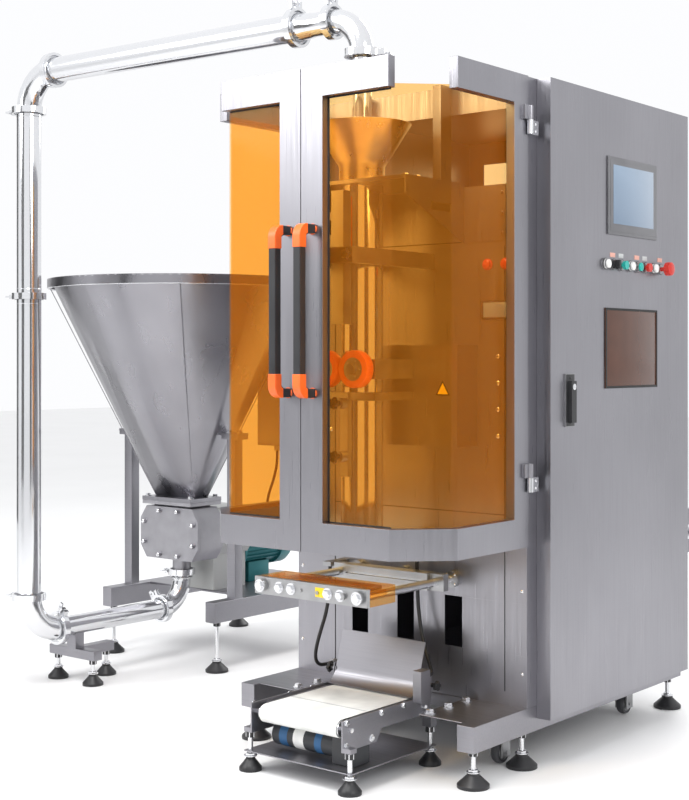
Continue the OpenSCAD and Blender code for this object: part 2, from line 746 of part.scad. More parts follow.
// ---- pump station ----
beam_x = 255;
beam_w = 45;
beam_z = [165, 233];
beam_y = [pump_y - 118, pump_y + 592];
post_w = 38;
post_top = 770;
lug_t = 12;
port_z = 562;
port_x = 91;
port_y = 35;
hopper_t = 3;
rim_h = 30;
flange_x = 119;
flange_y = 75;
flange_t = 13;
pump_z = [348, 528];
pump_half = 141;
pump_front = pump_y - 48;
pump_back = pump_y + 62;
cover_t = 14;
rotor_z = 438;
rotor_depth = [pump_front, pump_y + 32];
rotor_r = rotor_pitch / 2;
lobe = 15;
shaft_d = 24;
outlet_bottom = 300;

// Hopper: round rim, rectangular outlet, flange and two hanging lugs
module hopper() color(steel) home() translate([pump_x, pump_y, 0]) {
  difference() {
    union() {
      hopper_cone(0);
      translate([0, 0, port_z - flange_t])
        block([-flange_x, flange_x], [-flange_y, flange_y], [0, flange_t]);
      for (s = [-1, 1])
        block(s > 0 ? [120, beam_x + 40] : [-beam_x - 40, -120], [-25, 25],
          [post_top + lug_t, post_top + lug_t + 8]);
    }
    hopper_cone(hopper_t);
    block([-port_x + hopper_t, port_x - hopper_t], [-port_y + hopper_t, port_y - hopper_t],
      [port_z - flange_t - cut, port_z + 2]);
  }
  difference() {
    translate([0, 0, hopper_top - rim_h]) cylinder(h = rim_h, r = hopper_r);
    translate([0, 0, hopper_top - rim_h - cut])
      cylinder(h = rim_h + 2 * cut, r = hopper_r - 15);
  }
}
// Solid inside the hopper's wall, shrunk by t
module hopper_cone(t) hull() {
  translate([0, 0, port_z]) block([-port_x + t, port_x - t], [-port_y + t, port_y - t], [0, 1]);
  translate([0, 0, hopper_top - 1 + t]) cylinder(h = 1, r = hopper_r - 10 - t, $fn = 32);
}

// Stand: two beams, bed plate, cross rails and posts, and the stand of the outlet pipe
module pump_stand() color(steel) home() translate([pump_x, 0, 0]) {
  for (x = [-beam_x, beam_x]) {
    difference() {
      block([x - beam_w / 2, x + beam_w / 2], beam_y, beam_z);
      block([x - beam_w / 2 + 3, x + beam_w / 2 - 3], [beam_y[0] + 3, beam_y[1] + cut],
        [beam_z[0] + 3, beam_z[1] - 3]);
    }
    block([x - post_w / 2, x + post_w / 2], [pump_y - post_w / 2, pump_y + post_w / 2],
      [beam_z[1] - 1, post_top]);
    block([x - 40, x + 40], [pump_y - 25, pump_y + 25], [post_top - 1, post_top + lug_t]);
  }
  block([-beam_x + beam_w / 2, beam_x - beam_w / 2], [pump_back + 6, beam_y[1] - 20],
    [beam_z[1] - 8, beam_z[1]]);
  block([beam_x - post_w / 2, beam_x + post_w / 2], [beam_y[1] - 100, beam_y[1] - 62],
    [beam_z[1] - 1, box_z[1]]);
  block([-110, 110], [support_y - 18, support_y + 18], [80, 110]);
  block([-18, 18], [support_y - 17, support_y + 150], [80, 110]);
  difference() {
    block([-22, 22], [support_y - 18, support_y + 18], [109, low_pipe_z]);
    bar_y(0, [support_y - 19, support_y + 19], low_pipe_z, small_pipe_d + 2 * gap);
  }
}
support_y = -68;
box_z = [725, 1098];
box_x = [35, 274];
box_depth = 140;
box_back = beam_y[1] - 100;

// Control box of the pump on its post, with the cable gland below
module control_box() color([0.75, 0.75, 0.74]) home() translate([pump_x, 0, 0]) {
  block(box_x, [box_back - box_depth, box_back], box_z);
  bar_z(88, box_back - 92, [box_z[0] - 20, box_z[0] + 1], 22);
}

// Housing outline: a rectangle with cut corners, in the x-z plane
function housing(w, z, c, d) = [[-w + c, z[0]], [w - c, z[0]], [w, z[0] + d],
  [w, z[1] - d], [w - c, z[1]], [-w + c, z[1]], [-w, z[1] - d], [-w, z[0] + d]];
module housing_slab(w, z, y) translate([0, y[1], 0]) rotate([90, 0, 0])
  linear_extrude(y[1] - y[0]) polygon(housing(w, z, 30, 43));

// Pump body with its rotor chamber, inlet flange and outlet stub
module pump_body() color([0.7, 0.71, 0.73]) home() translate([pump_x, 0, 0]) difference() {
  union() {
    housing_slab(pump_half, pump_z, [pump_front, pump_back]);
    block([-flange_x, flange_x], [pump_y - flange_y, pump_y + flange_y],
      [port_z - 2 * flange_t, port_z - flange_t]);
    block([-port_x, port_x], [pump_y - 44, pump_y + 50],
      [pump_z[1] + seam, port_z - 2 * flange_t + 1]);
    bar_z(0, pump_y, [outlet_bottom, pump_z[0] + 1], small_pipe_d);
    bar_z(0, pump_y, [outlet_bottom, outlet_bottom + ferrule_t], small_pipe_d + 2 * ferrule_lip);
  }
  for (s = [-1, 1]) {
    bar_y(s * rotor_pitch / 2, [pump_front - cut, rotor_depth[1]], rotor_z,
      2 * (rotor_r + lobe) + 1);
    bar_y(s * rotor_pitch / 2, [rotor_depth[1] - cut, pump_back + cut], rotor_z,
      shaft_d + 2 * run);
  }
  block([-45, 45], [pump_y - 30, pump_y + 30], [rotor_z, port_z]);
  bar_z(0, pump_y, [outlet_bottom - cut, rotor_z], small_pipe_d - 2 * pipe_wall);
}

// Front cover of the pump with its dome nuts
module pump_cover() color([0.72, 0.73, 0.75]) home() translate([pump_x, 0, 0]) {
  housing_slab(pump_half, pump_z, [pump_front - cover_t, pump_front]);
  for (x = [-pump_half + 22, -45, 45, pump_half - 22])
    for (z = abs(x) > 50 ? [pump_z[0] + 55, pump_z[1] - 55] : [pump_z[0] + 14, pump_z[1] - 14])
      bar_y(x, [pump_front - cover_t - 10, pump_front - cover_t + 1], z, 16);
}

// Outline of a two lobe rotor: its radius swings about half the shaft pitch
function rotor_edge(turn) = [for (a = [0:5:355])
  let (r = rotor_r - 1.5 + lobe * cos(2 * a)) [r * cos(a + turn), r * sin(a + turn)]];
module rotor(x, turn) translate([pump_x + x, 0, rotor_z]) {
  translate([0, rotor_depth[1] - 1, 0]) rotate([90, 0, 0])
    linear_extrude(rotor_depth[1] - rotor_depth[0] - 2) polygon(rotor_edge(turn));
  bar_y(0, [rotor_depth[1] - 2, pump_back + 50], 0, shaft_d);
}
module drive_rotor() color([0.8, 0.8, 0.82]) home() rotor(-rotor_pitch / 2, 0);
module idler_rotor() color([0.8, 0.8, 0.82]) home() rotor(rotor_pitch / 2, 90);

motor_z = 360;
motor_d = 150;
gear_back = pump_back + 170;

// Timing and reduction gearbox behind the pump, on its foot
module pump_gearbox() color([0.62, 0.66, 0.66]) home() translate([pump_x, 0, 0]) difference() {
  union() {
    housing_slab(pump_half - 15, [pump_z[0] + 8, pump_z[1] - 8], [pump_back, gear_back]);
    block([-85, 85], [pump_back + 8, gear_back], [beam_z[1], pump_z[0] + 20]);
  }
  for (s = [-1, 1])
    bar_y(s * rotor_pitch / 2, [pump_back - cut, pump_back + 60], rotor_z,
      shaft_d + 2 * run);
}

// Motor with its fan hood, foot and terminal box
module pump_motor() color([0.1, 0.35, 0.38]) home() translate([pump_x, 0, 0]) {
  bar_y(0, [gear_back, gear_back + 12], motor_z, motor_d + 30);
  bar_y(0, [gear_back + 11, gear_back + 210], motor_z, motor_d);
  bar_y(0, [gear_back + 209, gear_back + 270], motor_z, motor_d + 8);
  block([-55, 55], [gear_back + 50, gear_back + 160], [beam_z[1], motor_z - 50]);
  block([0, 95], [gear_back + 50, gear_back + 160], [motor_z + 20, motor_z + 125]);
}

// ---- pipes ----
ferrule_t = 5;
ferrule_lip = 7;
bend_r = 114;
small_bend_r = 95;
low_pipe_z = outlet_bottom - 22 - small_bend_r;
clamp_wall = 8;
clamp_w = 20;
nozzle_d = 50;
nozzle_bottom = 640;
run_angle = atan2(riser_y - tube_y, -pump_x);
run_len = norm([pump_x, riser_y - tube_y]);
reducer = [run_len - small_bend_r - 120, run_len - small_bend_r];
mid_joint = 1236;
spool_y = pump_y - small_bend_r;

// Straight pipe from z 0 up, with a ferrule at both ends
module pipe(len, d) difference() {
  union() {
    cylinder(h = len, d = d);
    cylinder(h = ferrule_t, d = d + 2 * ferrule_lip);
    translate([0, 0, len - ferrule_t]) cylinder(h = ferrule_t, d = d + 2 * ferrule_lip);
  }
  translate([0, 0, -cut]) cylinder(h = len + 2 * cut, d = d - 2 * pipe_wall);
}
// Quarter bend that leaves the origin upwards and turns towards +x, with ferrules
module bend(r, d) translate([r, 0, 0]) rotate([90, 0, 0]) {
  difference() {
    rotate([0, 0, 90]) rotate_extrude(angle = 90) translate([r, 0]) circle(d = d);
    rotate([0, 0, 90]) rotate_extrude(angle = 90) translate([r, 0])
      circle(d = d - 2 * pipe_wall);
  }
}
module bend_ring(d, t) difference() {
  cylinder(h = t, d = d + 2 * ferrule_lip);
  translate([0, 0, -cut]) cylinder(h = t + 2 * cut, d = d - gap);
}
// Station on the top run, distance s from the riser
module on_run(s) translate([pump_x, -riser_y, top_pipe_z]) rotate([0, 0, run_angle])
  translate([s, 0, 0]) rotate([0, 90, 0]) children();

// Straight pipes: outlet run, riser in two lengths, top run, reducer and fill nozzle
module feed_pipes() color(steel) home() {
  translate([pump_x, spool_y, low_pipe_z]) rotate([90, 0, 0])
    pipe(spool_y + riser_y - bend_r, small_pipe_d);
  translate([pump_x, -riser_y, low_pipe_z + bend_r])
    pipe(mid_joint - low_pipe_z - bend_r, pipe_d);
  translate([pump_x, -riser_y, mid_joint]) pipe(top_pipe_z - bend_r - mid_joint, pipe_d);
  on_run(bend_r) pipe(reducer[0] - bend_r, pipe_d);
  on_run(reducer[0]) difference() {
    union() {
      cylinder(h = ferrule_t, d = pipe_d + 2 * ferrule_lip);
      translate([0, 0, ferrule_t - 1]) cylinder(h = 60, d1 = pipe_d, d2 = small_pipe_d);
      translate([0, 0, ferrule_t + 58]) cylinder(h = 120 - ferrule_t - 58, d = small_pipe_d);
      translate([0, 0, 120 - ferrule_t])
        cylinder(h = ferrule_t, d = small_pipe_d + 2 * ferrule_lip);
    }
    translate([0, 0, -cut]) cylinder(h = 122, d = small_pipe_d - 2 * pipe_wall);
  }
  translate([0, fill_y, nozzle_bottom]) difference() {
    union() {
      cylinder(h = top_pipe_z - small_bend_r - nozzle_bottom, d = nozzle_d);
      translate([0, 0, top_pipe_z - small_bend_r - nozzle_bottom - ferrule_t])
        cylinder(h = ferrule_t, d = small_pipe_d + 2 * ferrule_lip);
    }
    translate([0, 0, -cut]) cylinder(h = 1500, d = nozzle_d - 2 * pipe_wall);
  }
}

// Four quarter bends
module pipe_elbows() color(steel) home() {
  translate([pump_x, pump_y, outlet_bottom]) mirror([0, 0, 1]) {
    pipe(22, small_pipe_d);
  }
  translate([pump_x, pump_y, outlet_bottom - 22]) rotate([180, 0, -90])
    bend(small_bend_r, small_pipe_d);
  translate([pump_x, -riser_y, low_pipe_z + bend_r]) rotate([180, 0, 90])
    bend(bend_r, pipe_d);
  translate([pump_x, -riser_y, top_pipe_z - bend_r]) rotate([0, 0, run_angle])
    bend(bend_r, pipe_d);
  translate([0, fill_y, top_pipe_z - small_bend_r]) rotate([0, 0, 180 + run_angle])
    bend(small_bend_r, small_pipe_d);
}

// Clamp ring round two ferrules, with its hinge lug, bolt and wing nut
module clamp(d, turn) rotate([0, 0, turn]) translate([0, 0, -clamp_w / 2]) {
  inner = d + 2 * ferrule_lip + 2 * gap;
  difference() {
    union() {
      cylinder(h = clamp_w, d = inner + 2 * clamp_wall);
      block([inner / 2, inner / 2 + 26], [-12, 12], [2, clamp_w - 2]);
    }
    translate([0, 0, -cut]) cylinder(h = clamp_w + 2 * cut, d = inner);
    translate([inner / 2 + 12, -2, -cut]) cube([20, 4, clamp_w + 2 * cut]);
  }
  translate([inner / 2 + 19, 11, clamp_w / 2]) rotate([-90, 0, 0]) {
    cylinder(h = 12, d = 14);
    translate([-16, -2.5, 4]) cube([32, 5, 14]);
  }
}
module pipe_clamps() color([0.78, 0.79, 0.8]) home() {
  translate([pump_x, pump_y, outlet_bottom]) clamp(small_pipe_d, 200);
  translate([pump_x, spool_y, low_pipe_z]) rotate([90, 0, 0]) clamp(small_pipe_d, 120);
  translate([pump_x, -riser_y + bend_r, low_pipe_z]) rotate([90, 0, 0]) clamp(pipe_d, 60);
  for (z = [low_pipe_z + bend_r, mid_joint, top_pipe_z - bend_r])
    translate([pump_x, -riser_y, z]) clamp(pipe_d, 180);
  on_run(bend_r) clamp(pipe_d, 90);
  on_run(reducer[0]) clamp(pipe_d, 180);
  on_run(reducer[1]) clamp(small_pipe_d, 180);
  translate([0, fill_y, top_pipe_z - small_bend_r]) clamp(small_pipe_d, 20);
}

// ---- feet and casters ----
// Levelling foot: pad, cone, nut and stud up to top
module foot(x, y, top, r) translate([x, y, 0]) rotate_extrude()
  polygon([[0, 0], [r, 0], [r, 8], [r * 0.4, 30], [r * 0.4, 36], [6, 36],
    [6, top - 14], [12, top - 14], [12, top], [0, top]]);
module levelling_feet() color([0.1, 0.1, 0.11]) home() {
  for (x = [-half + base_w / 2, half - base_w / 2])
    for (y = [35 - fork_reach, base_w / 2 - 10, body_d - 40])
      foot(x, y, base_z, 40);
  for (x = [pump_x - beam_x, pump_x + beam_x])
    for (y = [beam_y[0] + 32, beam_y[1] - 35])
      foot(x, y, beam_z[0], 38);
  for (p = [[-85, support_y], [85, support_y], [0, support_y + 130]])
    foot(pump_x + p[0], p[1], 80, 33);
  for (x = [-stud_x, stud_x])
    for (y = stud_ys)
      foot(x, y, lug_z, 29);
}

caster_r = 30;
wheel_axis = caster_r + 3;
axle_d = 8;
// Four caster housings with their axles
module caster_brackets() color([0.7, 0.7, 0.72]) home() both_sides()
  for (y = caster_ys)
    translate([caster_x, y, 0]) {
      block([-caster_pad, caster_pad - 2], [-caster_pad, caster_pad], [base_z - 5, base_z]);
      for (x = [-19, 15])
        block([x, x + 4], [-18, 18], [wheel_axis - 12, base_z - 4]);
      bar_x([-22, 22], 0, wheel_axis, axle_d);
    }
// Wheels of one pair
module caster_wheel(y) both_sides()
  translate([caster_x, y, wheel_axis]) difference() {
    bar_x([-14.5, 14.5], 0, 0, 2 * caster_r);
    bar_x([-16, 16], 0, 0, axle_d + 2 * run);
  }
module caster_wheels_front() color([0.2, 0.2, 0.22]) home() caster_wheel(caster_ys[0]);
module caster_wheels_rear() color([0.2, 0.2, 0.22]) home() caster_wheel(caster_ys[1]);

// ---- discharge conveyor ----
side_x = belt_w / 2 + 21;
side_t = 4;
front_axis = -425;
rear_axis = front_axis + roller_pitch;
belt_t = 2.7;
belt_r = roller_d / 2 + gap + belt_t;
belt_top = roller_z + belt_r;
stud_x = side_x + side_t + 12;
stud_ys = [front_axis - 14, rear_axis + 13];
lug_z = 98;
tray_z = [48, 51];
chute_pin = [rear_axis + 20, roller_z + 54];
chute_x = side_x - 8;

// Side plates, slider bed, ties, tray and the lugs for the feet
module conveyor_frame() color(steel) home() {
  both_sides() difference() {
    union() {
      translate([side_x, 0, 0]) rotate([90, 0, 90]) linear_extrude(side_t)
        polygon([[front_axis - 27, lug_z], [front_axis + 105, lug_z],
          [front_axis + 125, roller_z - 20], [rear_axis + 30, roller_z - 20],
          [rear_axis + 40, chute_pin[1] + 20], [rear_axis + 2, chute_pin[1] + 20],
          [rear_axis - 6, roller_z + 26], [front_axis - 27, roller_z + 26]]);
      block([side_x + side_t - 1, stud_x + 12], [stud_ys[0] - 12, stud_ys[0] + 12],
        [lug_z, lug_z + 12]);
      block([side_x + side_t - 1, stud_x + 12], [stud_ys[1] - 12, stud_ys[1] + 12],
        [lug_z, lug_z + 40]);
      block([side_x, side_x + side_t], [stud_ys[1] - 12, stud_ys[1] + 12],
        [lug_z, roller_z - 10]);
    }
    for (y = [front_axis, rear_axis])
      bar_x([side_x - cut, side_x + side_t + cut], y, roller_z, stem_d + 2 * run);
    bar_x([side_x - cut, side_x + side_t + cut], chute_pin[0], chute_pin[1],
      stem_d + 2 * run);
  }
  block([-side_x, side_x], [front_axis + 30, rear_axis - 30],
    [roller_z + roller_d / 2 - 5, roller_z + roller_d / 2]);
  block([-side_x, side_x], [front_axis + 60, front_axis + 100], [roller_z - 9, roller_z - 3]);
  block([side_x + side_t, side_x + side_t + 26], [rear_axis - 45, rear_axis - 5],
    [roller_z + 20, roller_z + 100]);
  difference() {
    block([-stud_x - 12, stud_x + 12], [stud_ys[0] - 12, stud_ys[1] + 12], tray_z);
    for (x = [-stud_x, stud_x])
      for (y = stud_ys)
        bar_z(x, y, [tray_z[0] - cut, tray_z[1] + cut], 12 + 2 * gap);
  }
}

// Stadium round both roller axes, grown by r
module belt_loop(r) {
  for (y = [front_axis, rear_axis])
    translate([y, roller_z]) circle(r);
  translate([front_axis, roller_z - r]) square([roller_pitch, 2 * r]);
}
module conveyor_belt() color(white) home() translate([-belt_w / 2, 0, 0])
  rotate([90, 0, 90]) linear_extrude(belt_w) difference() {
    belt_loop(belt_r);
    belt_loop(belt_r - belt_t);
  }
module conveyor_roller(y) {
  bar_x([-belt_w / 2 - 4, belt_w / 2 + 4], y, roller_z, roller_d);
  bar_x([-side_x - side_t - 8, side_x + side_t + 8], y, roller_z, stem_d);
}
module drive_roller() color([0.7, 0.7, 0.72]) home() conveyor_roller(rear_axis);
module tail_roller() color([0.7, 0.7, 0.72]) home() conveyor_roller(front_axis);

motor_y = front_axis + 50;
// Small gear motor under the belt, on the right side plate
module conveyor_motor() color(black) home() {
  bar_x([-120, 81], motor_y, lug_z - 8, 60);
  block([80, side_x], [motor_y - 32, motor_y + 32], [tray_z[1] + 2, roller_z - belt_r - 4]);
}

chute_t = 2;
chute_bend = 54;
chute_foot = [rear_axis - 3, belt_top + 39];
chute_heading = 253;
// Points of the chute's bent side view, at a distance from its middle line
function chute_edge(off) = let (c = [chute_foot[0] + chute_bend * cos(chute_heading - 90),
    chute_foot[1] + chute_bend * sin(chute_heading - 90)])
  concat([[chute_foot[0] + 30 + off * 0.956, chute_foot[1] + 98 - off * 0.292]],
    [for (a = [343:-53 / 8:290]) [c[0] + (chute_bend + off) * cos(a),
      c[1] + (chute_bend + off) * sin(a)]]);
// Tilting plate that lays bags on the belt, with side cheeks on the pivot pins
module chute_plate() color([0.8, 0.8, 0.82]) home() {
  translate([-chute_x, 0, 0]) rotate([90, 0, 90]) linear_extrude(2 * chute_x)
    polygon(concat(chute_edge(-chute_t / 2), flip(chute_edge(chute_t / 2))));
  both_sides() {
    block([chute_x - 3, chute_x], [chute_foot[0] - 4, chute_pin[0] + 12],
      [chute_pin[1] - 12, chute_pin[1] + 12]);
    bar_x([chute_x - 3, side_x + side_t + 14], chute_pin[0], chute_pin[1], stem_d);
  }
}

// ---- cables ----
cable_d = 10;
cable_sides = 8;
// Route of the heater cable, from its arm beside the jaws down to the lower wall
jaw_route = [[-216, -60, 470], [-216, -60, 445], [-216, -62, 410], [-218, -66, 372],
  [-221, -74, 334], [-226, -85, 298], [-232, -93, 264], [-239, -94, 232],
  [-245, -84, 207], [-248, -64, 193], [-248, -40, 190], [-248, -14, 190]];
// Route of the conveyor cable, from the outlet arm to the conveyor's box
belt_route = [[60, -30, 575], [60, -30, 550], [60, -30, 510], [61, -30, 465],
  [63, -31, 420], [68, -33, 375], [78, -38, 333], [94, -47, 296], [115, -61, 266],
  [137, -78, 244], [154, -94, 232], [163, -112, 230], [163, -130, 230]];
// Route of the pump cable, from the control box to the motor's terminal box
pump_route = [[-1192, 808, 705], [-1192, 808, 680], [-1194, 807, 650], [-1200, 805, 620],
  [-1208, 802, 590], [-1217, 797, 560], [-1223, 793, 532], [-1225, 791, 508],
  [-1225, 791, 485]];
// Rings of a tube swept along a route: eight points square to the local direction
function heading(r, i) = let (a = r[max(i - 1, 0)], b = r[min(i + 1, len(r) - 1)])
  (b - a) / norm(b - a);
function side_of(h) = let (s = cross(h, abs(h[0]) < 0.9 ? [1, 0, 0] : [0, 1, 0])) s / norm(s);
function ring(r, i, d) = let (h = heading(r, i), u = side_of(h), v = cross(h, u))
  [for (k = [0:cable_sides - 1]) let (a = 360 * k / cable_sides)
    r[i] + d / 2 * (u * cos(a) + v * sin(a))];
module cable(r, d) {
  n = cable_sides;
  last = (len(r) - 1) * n;
  polyhedron(points = [for (i = [0:len(r) - 1]) each ring(r, i, d)],
    faces = concat(
      [[for (k = [0:n - 1]) k]],
      [[for (k = [n - 1:-1:0]) last + k]],
      [for (i = [0:len(r) - 2]) for (k = [0:n - 1])
        [i * n + k, (i + 1) * n + k, (i + 1) * n + (k + 1) % n, i * n + (k + 1) % n]]));
}
module machine_cables() color(black) home() {
  cable(jaw_route, cable_d);
  cable(belt_route, cable_d);
  cable(pump_route, cable_d);
}

base_frame();
cabinet_shell();
front_wall();
electrical_plate();
electrical_door();
door_displays();
door_fittings();
lock_lever();
start_button();
stop_button();
selector_knob();
emergency_stop();
guard_frame_right();
guard_window_right();
guard_handle_right();
guard_frame_left();
guard_window_left();
guard_handle_left();
hinge_pins();
collar_mount();
drive_cover();
forming_tube();
forming_collar();
film_brackets();
pull_wheel_left();
pull_wheel_right();
vertical_seal_bar();
front_jaw();
jaw_guard();
jaw_rods();
rear_jaw();
cutter_blade();
jaw_drive();
film_cradle();
film_shaft();
dancer_arm();
guide_roller();
hopper();
pump_stand();
control_box();
pump_body();
pump_cover();
drive_rotor();
idler_rotor();
pump_gearbox();
pump_motor();
feed_pipes();
pipe_elbows();
pipe_clamps();
levelling_feet();
caster_brackets();
caster_wheels_front();
caster_wheels_rear();
conveyor_frame();
conveyor_belt();
drive_roller();
tail_roller();
conveyor_motor();
chute_plate();
machine_cables();
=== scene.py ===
"""Looks of a bag making, filling and sealing line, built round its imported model.

Lengths are in metres. X runs towards the control side, Y from the guard doors to the
film reel and Z up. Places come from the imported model's parts.
"""

import json
import math

import bmesh
import bpy
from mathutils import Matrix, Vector

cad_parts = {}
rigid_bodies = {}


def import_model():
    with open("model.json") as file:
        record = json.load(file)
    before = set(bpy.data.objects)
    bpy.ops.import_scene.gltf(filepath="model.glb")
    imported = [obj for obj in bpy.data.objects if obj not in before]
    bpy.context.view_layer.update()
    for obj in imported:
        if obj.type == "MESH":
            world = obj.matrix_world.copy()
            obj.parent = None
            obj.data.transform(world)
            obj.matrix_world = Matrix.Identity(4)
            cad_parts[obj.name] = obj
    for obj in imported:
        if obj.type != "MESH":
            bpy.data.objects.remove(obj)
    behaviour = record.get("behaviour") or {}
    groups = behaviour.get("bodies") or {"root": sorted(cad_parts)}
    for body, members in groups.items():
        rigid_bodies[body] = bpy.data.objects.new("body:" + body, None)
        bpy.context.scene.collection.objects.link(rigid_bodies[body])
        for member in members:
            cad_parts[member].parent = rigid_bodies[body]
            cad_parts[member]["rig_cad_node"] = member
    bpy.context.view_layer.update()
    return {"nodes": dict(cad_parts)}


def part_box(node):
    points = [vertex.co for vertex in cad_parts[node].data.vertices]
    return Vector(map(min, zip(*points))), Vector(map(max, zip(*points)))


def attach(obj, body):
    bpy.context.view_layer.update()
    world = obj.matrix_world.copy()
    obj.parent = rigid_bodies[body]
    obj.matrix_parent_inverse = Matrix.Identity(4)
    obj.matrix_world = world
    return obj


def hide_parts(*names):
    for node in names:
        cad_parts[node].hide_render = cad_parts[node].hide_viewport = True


bl_info = {
    "name": "Bag Filling Line",
    "version": (1, 0, 0),
    "blender": (4, 5, 0),
    "location": "View3D > Sidebar > Filling Line",
    "description": "Adds the finishes and the small parts of a bag filling line",
    "category": "Add Mesh",
}

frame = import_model()

MM = 0.001
AXES = {"X": Vector((1, 0, 0)), "Y": Vector((0, 1, 0)), "Z": Vector((0, 0, 1))}
FLOOR_SIZE = 40.0
SMALL_OFFSET = 0.0003
CREASE = 38


# ---- places on the machine ----

def middle(node):
    """Middle of a node's box."""
    low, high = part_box(node)
    return (low + high) / 2


TUBE_AXIS = middle("forming_tube")
WALL_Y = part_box("cabinet_shell")[0].y - 3 * MM


def place(x, y, z):
    """A point given in millimetres from the forming tube, the front wall and the floor."""
    return Vector((TUBE_AXIS.x + x * MM, WALL_Y + y * MM, z * MM))


# ---- mesh building ----

def skin(bm, rings, closed=False):
    """Joins neighbouring rings with faces: into a tube with ends, or a closed hoop."""
    steps = len(rings[0])
    for low, high in zip(rings, rings[1:] + rings[:1] if closed else rings[1:]):
        for i in range(steps):
            j = (i + 1) % steps
            bm.faces.new((low[i], low[j], high[j], high[i]))
    if not closed:
        bm.faces.new(list(reversed(rings[0])))
        bm.faces.new(rings[-1])


def profile(*points):
    """Radius and height pairs given in millimetres."""
    return [(radius * MM, height * MM) for radius, height in points]


def turned(bm, outline, foot, axis="Z", steps=32, flipped=False):
    """Adds a solid turned from (radius, height) points, closed on its axis at both ends."""
    along = AXES[axis] * (-1 if flipped else 1)
    turn = along.to_track_quat("Z", "Y").to_matrix()
    rings = []
    for radius, height in outline:
        ring = []
        for i in range(steps):
            angle = math.tau * i / steps
            spot = Vector((radius * math.cos(angle), radius * math.sin(angle), height))
            ring.append(bm.verts.new(foot + turn @ spot))
        rings.append(ring)
    skin(bm, rings)


def hoop(bm, centre, axis, radius, thick, steps=64, sides=10):
    """Adds a ring of round section about an axis."""
    turn = AXES[axis].to_track_quat("Z", "Y").to_matrix()
    rings = []
    for i in range(steps):
        angle = math.tau * i / steps
        ring = []
        for k in range(sides):
            around = math.tau * k / sides
            reach = radius + thick * math.cos(around)
            spot = Vector((reach * math.cos(angle), reach * math.sin(angle),
                           thick * math.sin(around)))
            ring.append(bm.verts.new(centre + turn @ spot))
        rings.append(ring)
    for i in range(steps):
        ahead = rings[(i + 1) % steps]
        for k in range(sides):
            n = (k + 1) % sides
            bm.faces.new((rings[i][k], ahead[k], ahead[n], rings[i][n]))


def brick(bm, low, high, bevel=0.0):
    """Adds a box between two corners, with its edges rounded."""
    side = high - low
    made = bmesh.ops.create_cube(bm, size=1.0)["verts"]
    bmesh.ops.scale(bm, vec=side, verts=made)
    bmesh.ops.translate(bm, vec=(low + high) / 2, verts=made)
    if bevel > 0:
        edges = list({e for v in made for e in v.link_edges})
        bmesh.ops.bevel(bm, geom=edges, offset=bevel, segments=2, profile=0.5,
                        affect="EDGES")


def hexagon(bm, foot, axis, across, height, flipped=False):
    """Adds a hexagonal head with a rounded top and its washer."""
    corner = across / math.sqrt(3)
    turned(bm, [(across * 0.78, 0), (across * 0.78, height * 0.22)],
           foot, axis, 24, flipped)
    up = AXES[axis] * (-1 if flipped else 1)
    turned(bm, [(corner, 0), (corner, height * 0.65), (corner * 0.86, height * 0.8)],
           foot + up * height * 0.2, axis, 6, flipped)


def dome(bm, foot, axis, radius, height, flipped=False):
    """Adds a low domed screw head."""
    outline = [(radius * math.cos(a), height * math.sin(a))
               for a in (0, 0.4, 0.8, 1.15, 1.45)]
    turned(bm, outline, foot, axis, 20, flipped)


def slab(bm, outline, toward):
    """Adds a flat plate: a closed outline, pushed along a vector."""
    near = [bm.verts.new(p) for p in outline]
    far = [bm.verts.new(p + toward) for p in outline]
    bm.faces.new(list(reversed(near)))
    bm.faces.new(far)
    for i in range(len(outline)):
        j = (i + 1) % len(outline)
        bm.faces.new((near[i], near[j], far[j], far[i]))


def finish_piece(name, bm, finish, body, replaces=()):
    """Turns mesh data into a piece with a named finish that rides on a body."""
    bmesh.ops.recalc_face_normals(bm, faces=bm.faces)
    mesh = bpy.data.meshes.new(name)
    bm.to_mesh(mesh)
    bm.free()
    for face in mesh.polygons:
        face.use_smooth = True
    mesh.set_sharp_from_angle(angle=math.radians(CREASE))
    mesh.materials.append(bpy.data.materials[finish])
    piece = bpy.data.objects.new(name, mesh)
    bpy.context.scene.collection.objects.link(piece)
    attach(piece, body)
    if replaces:
        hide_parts(*replaces)
    return piece


# ---- finishes ----

def blank_finish(name, colour, metal=0.0, rough=0.5):
    """A new material and its shader."""
    finish = bpy.data.materials.new(name)
    finish.use_nodes = True
    shader = finish.node_tree.nodes["Principled BSDF"]
    shader.inputs["Base Color"].default_value = (*colour, 1)
    shader.inputs["Metallic"].default_value = metal
    shader.inputs["Roughness"].default_value = rough
    return finish, shader


def grain(finish, scale, stretch=(1, 1, 1), detail=4.0):
    """A noise in the object's own space, drawn out along the long sides of stretch."""
    nodes, links = finish.node_tree.nodes, finish.node_tree.links
    where = nodes.new("ShaderNodeTexCoord")
    drawn = nodes.new("ShaderNodeMapping")
    drawn.inputs["Scale"].default_value = stretch
    noise = nodes.new("ShaderNodeTexNoise")
    noise.inputs["Scale"].default_value = scale
    noise.inputs["Detail"].default_value = detail
    links.new(where.outputs["Object"], drawn.inputs["Vector"])
    links.new(drawn.outputs["Vector"], noise.inputs["Vector"])
    return noise.outputs["Fac"]


def tint(finish, shader, source, dark, light):
    """Base colour that swings between two tones."""
    ramp = finish.node_tree.nodes.new("ShaderNodeValToRGB")
    ramp.color_ramp.elements[0].position = 0.3
    ramp.color_ramp.elements[1].position = 0.7
    ramp.color_ramp.elements[0].color = (*dark, 1)
    ramp.color_ramp.elements[1].color = (*light, 1)
    finish.node_tree.links.new(source, ramp.inputs["Fac"])
    finish.node_tree.links.new(ramp.outputs["Color"], shader.inputs["Base Color"])


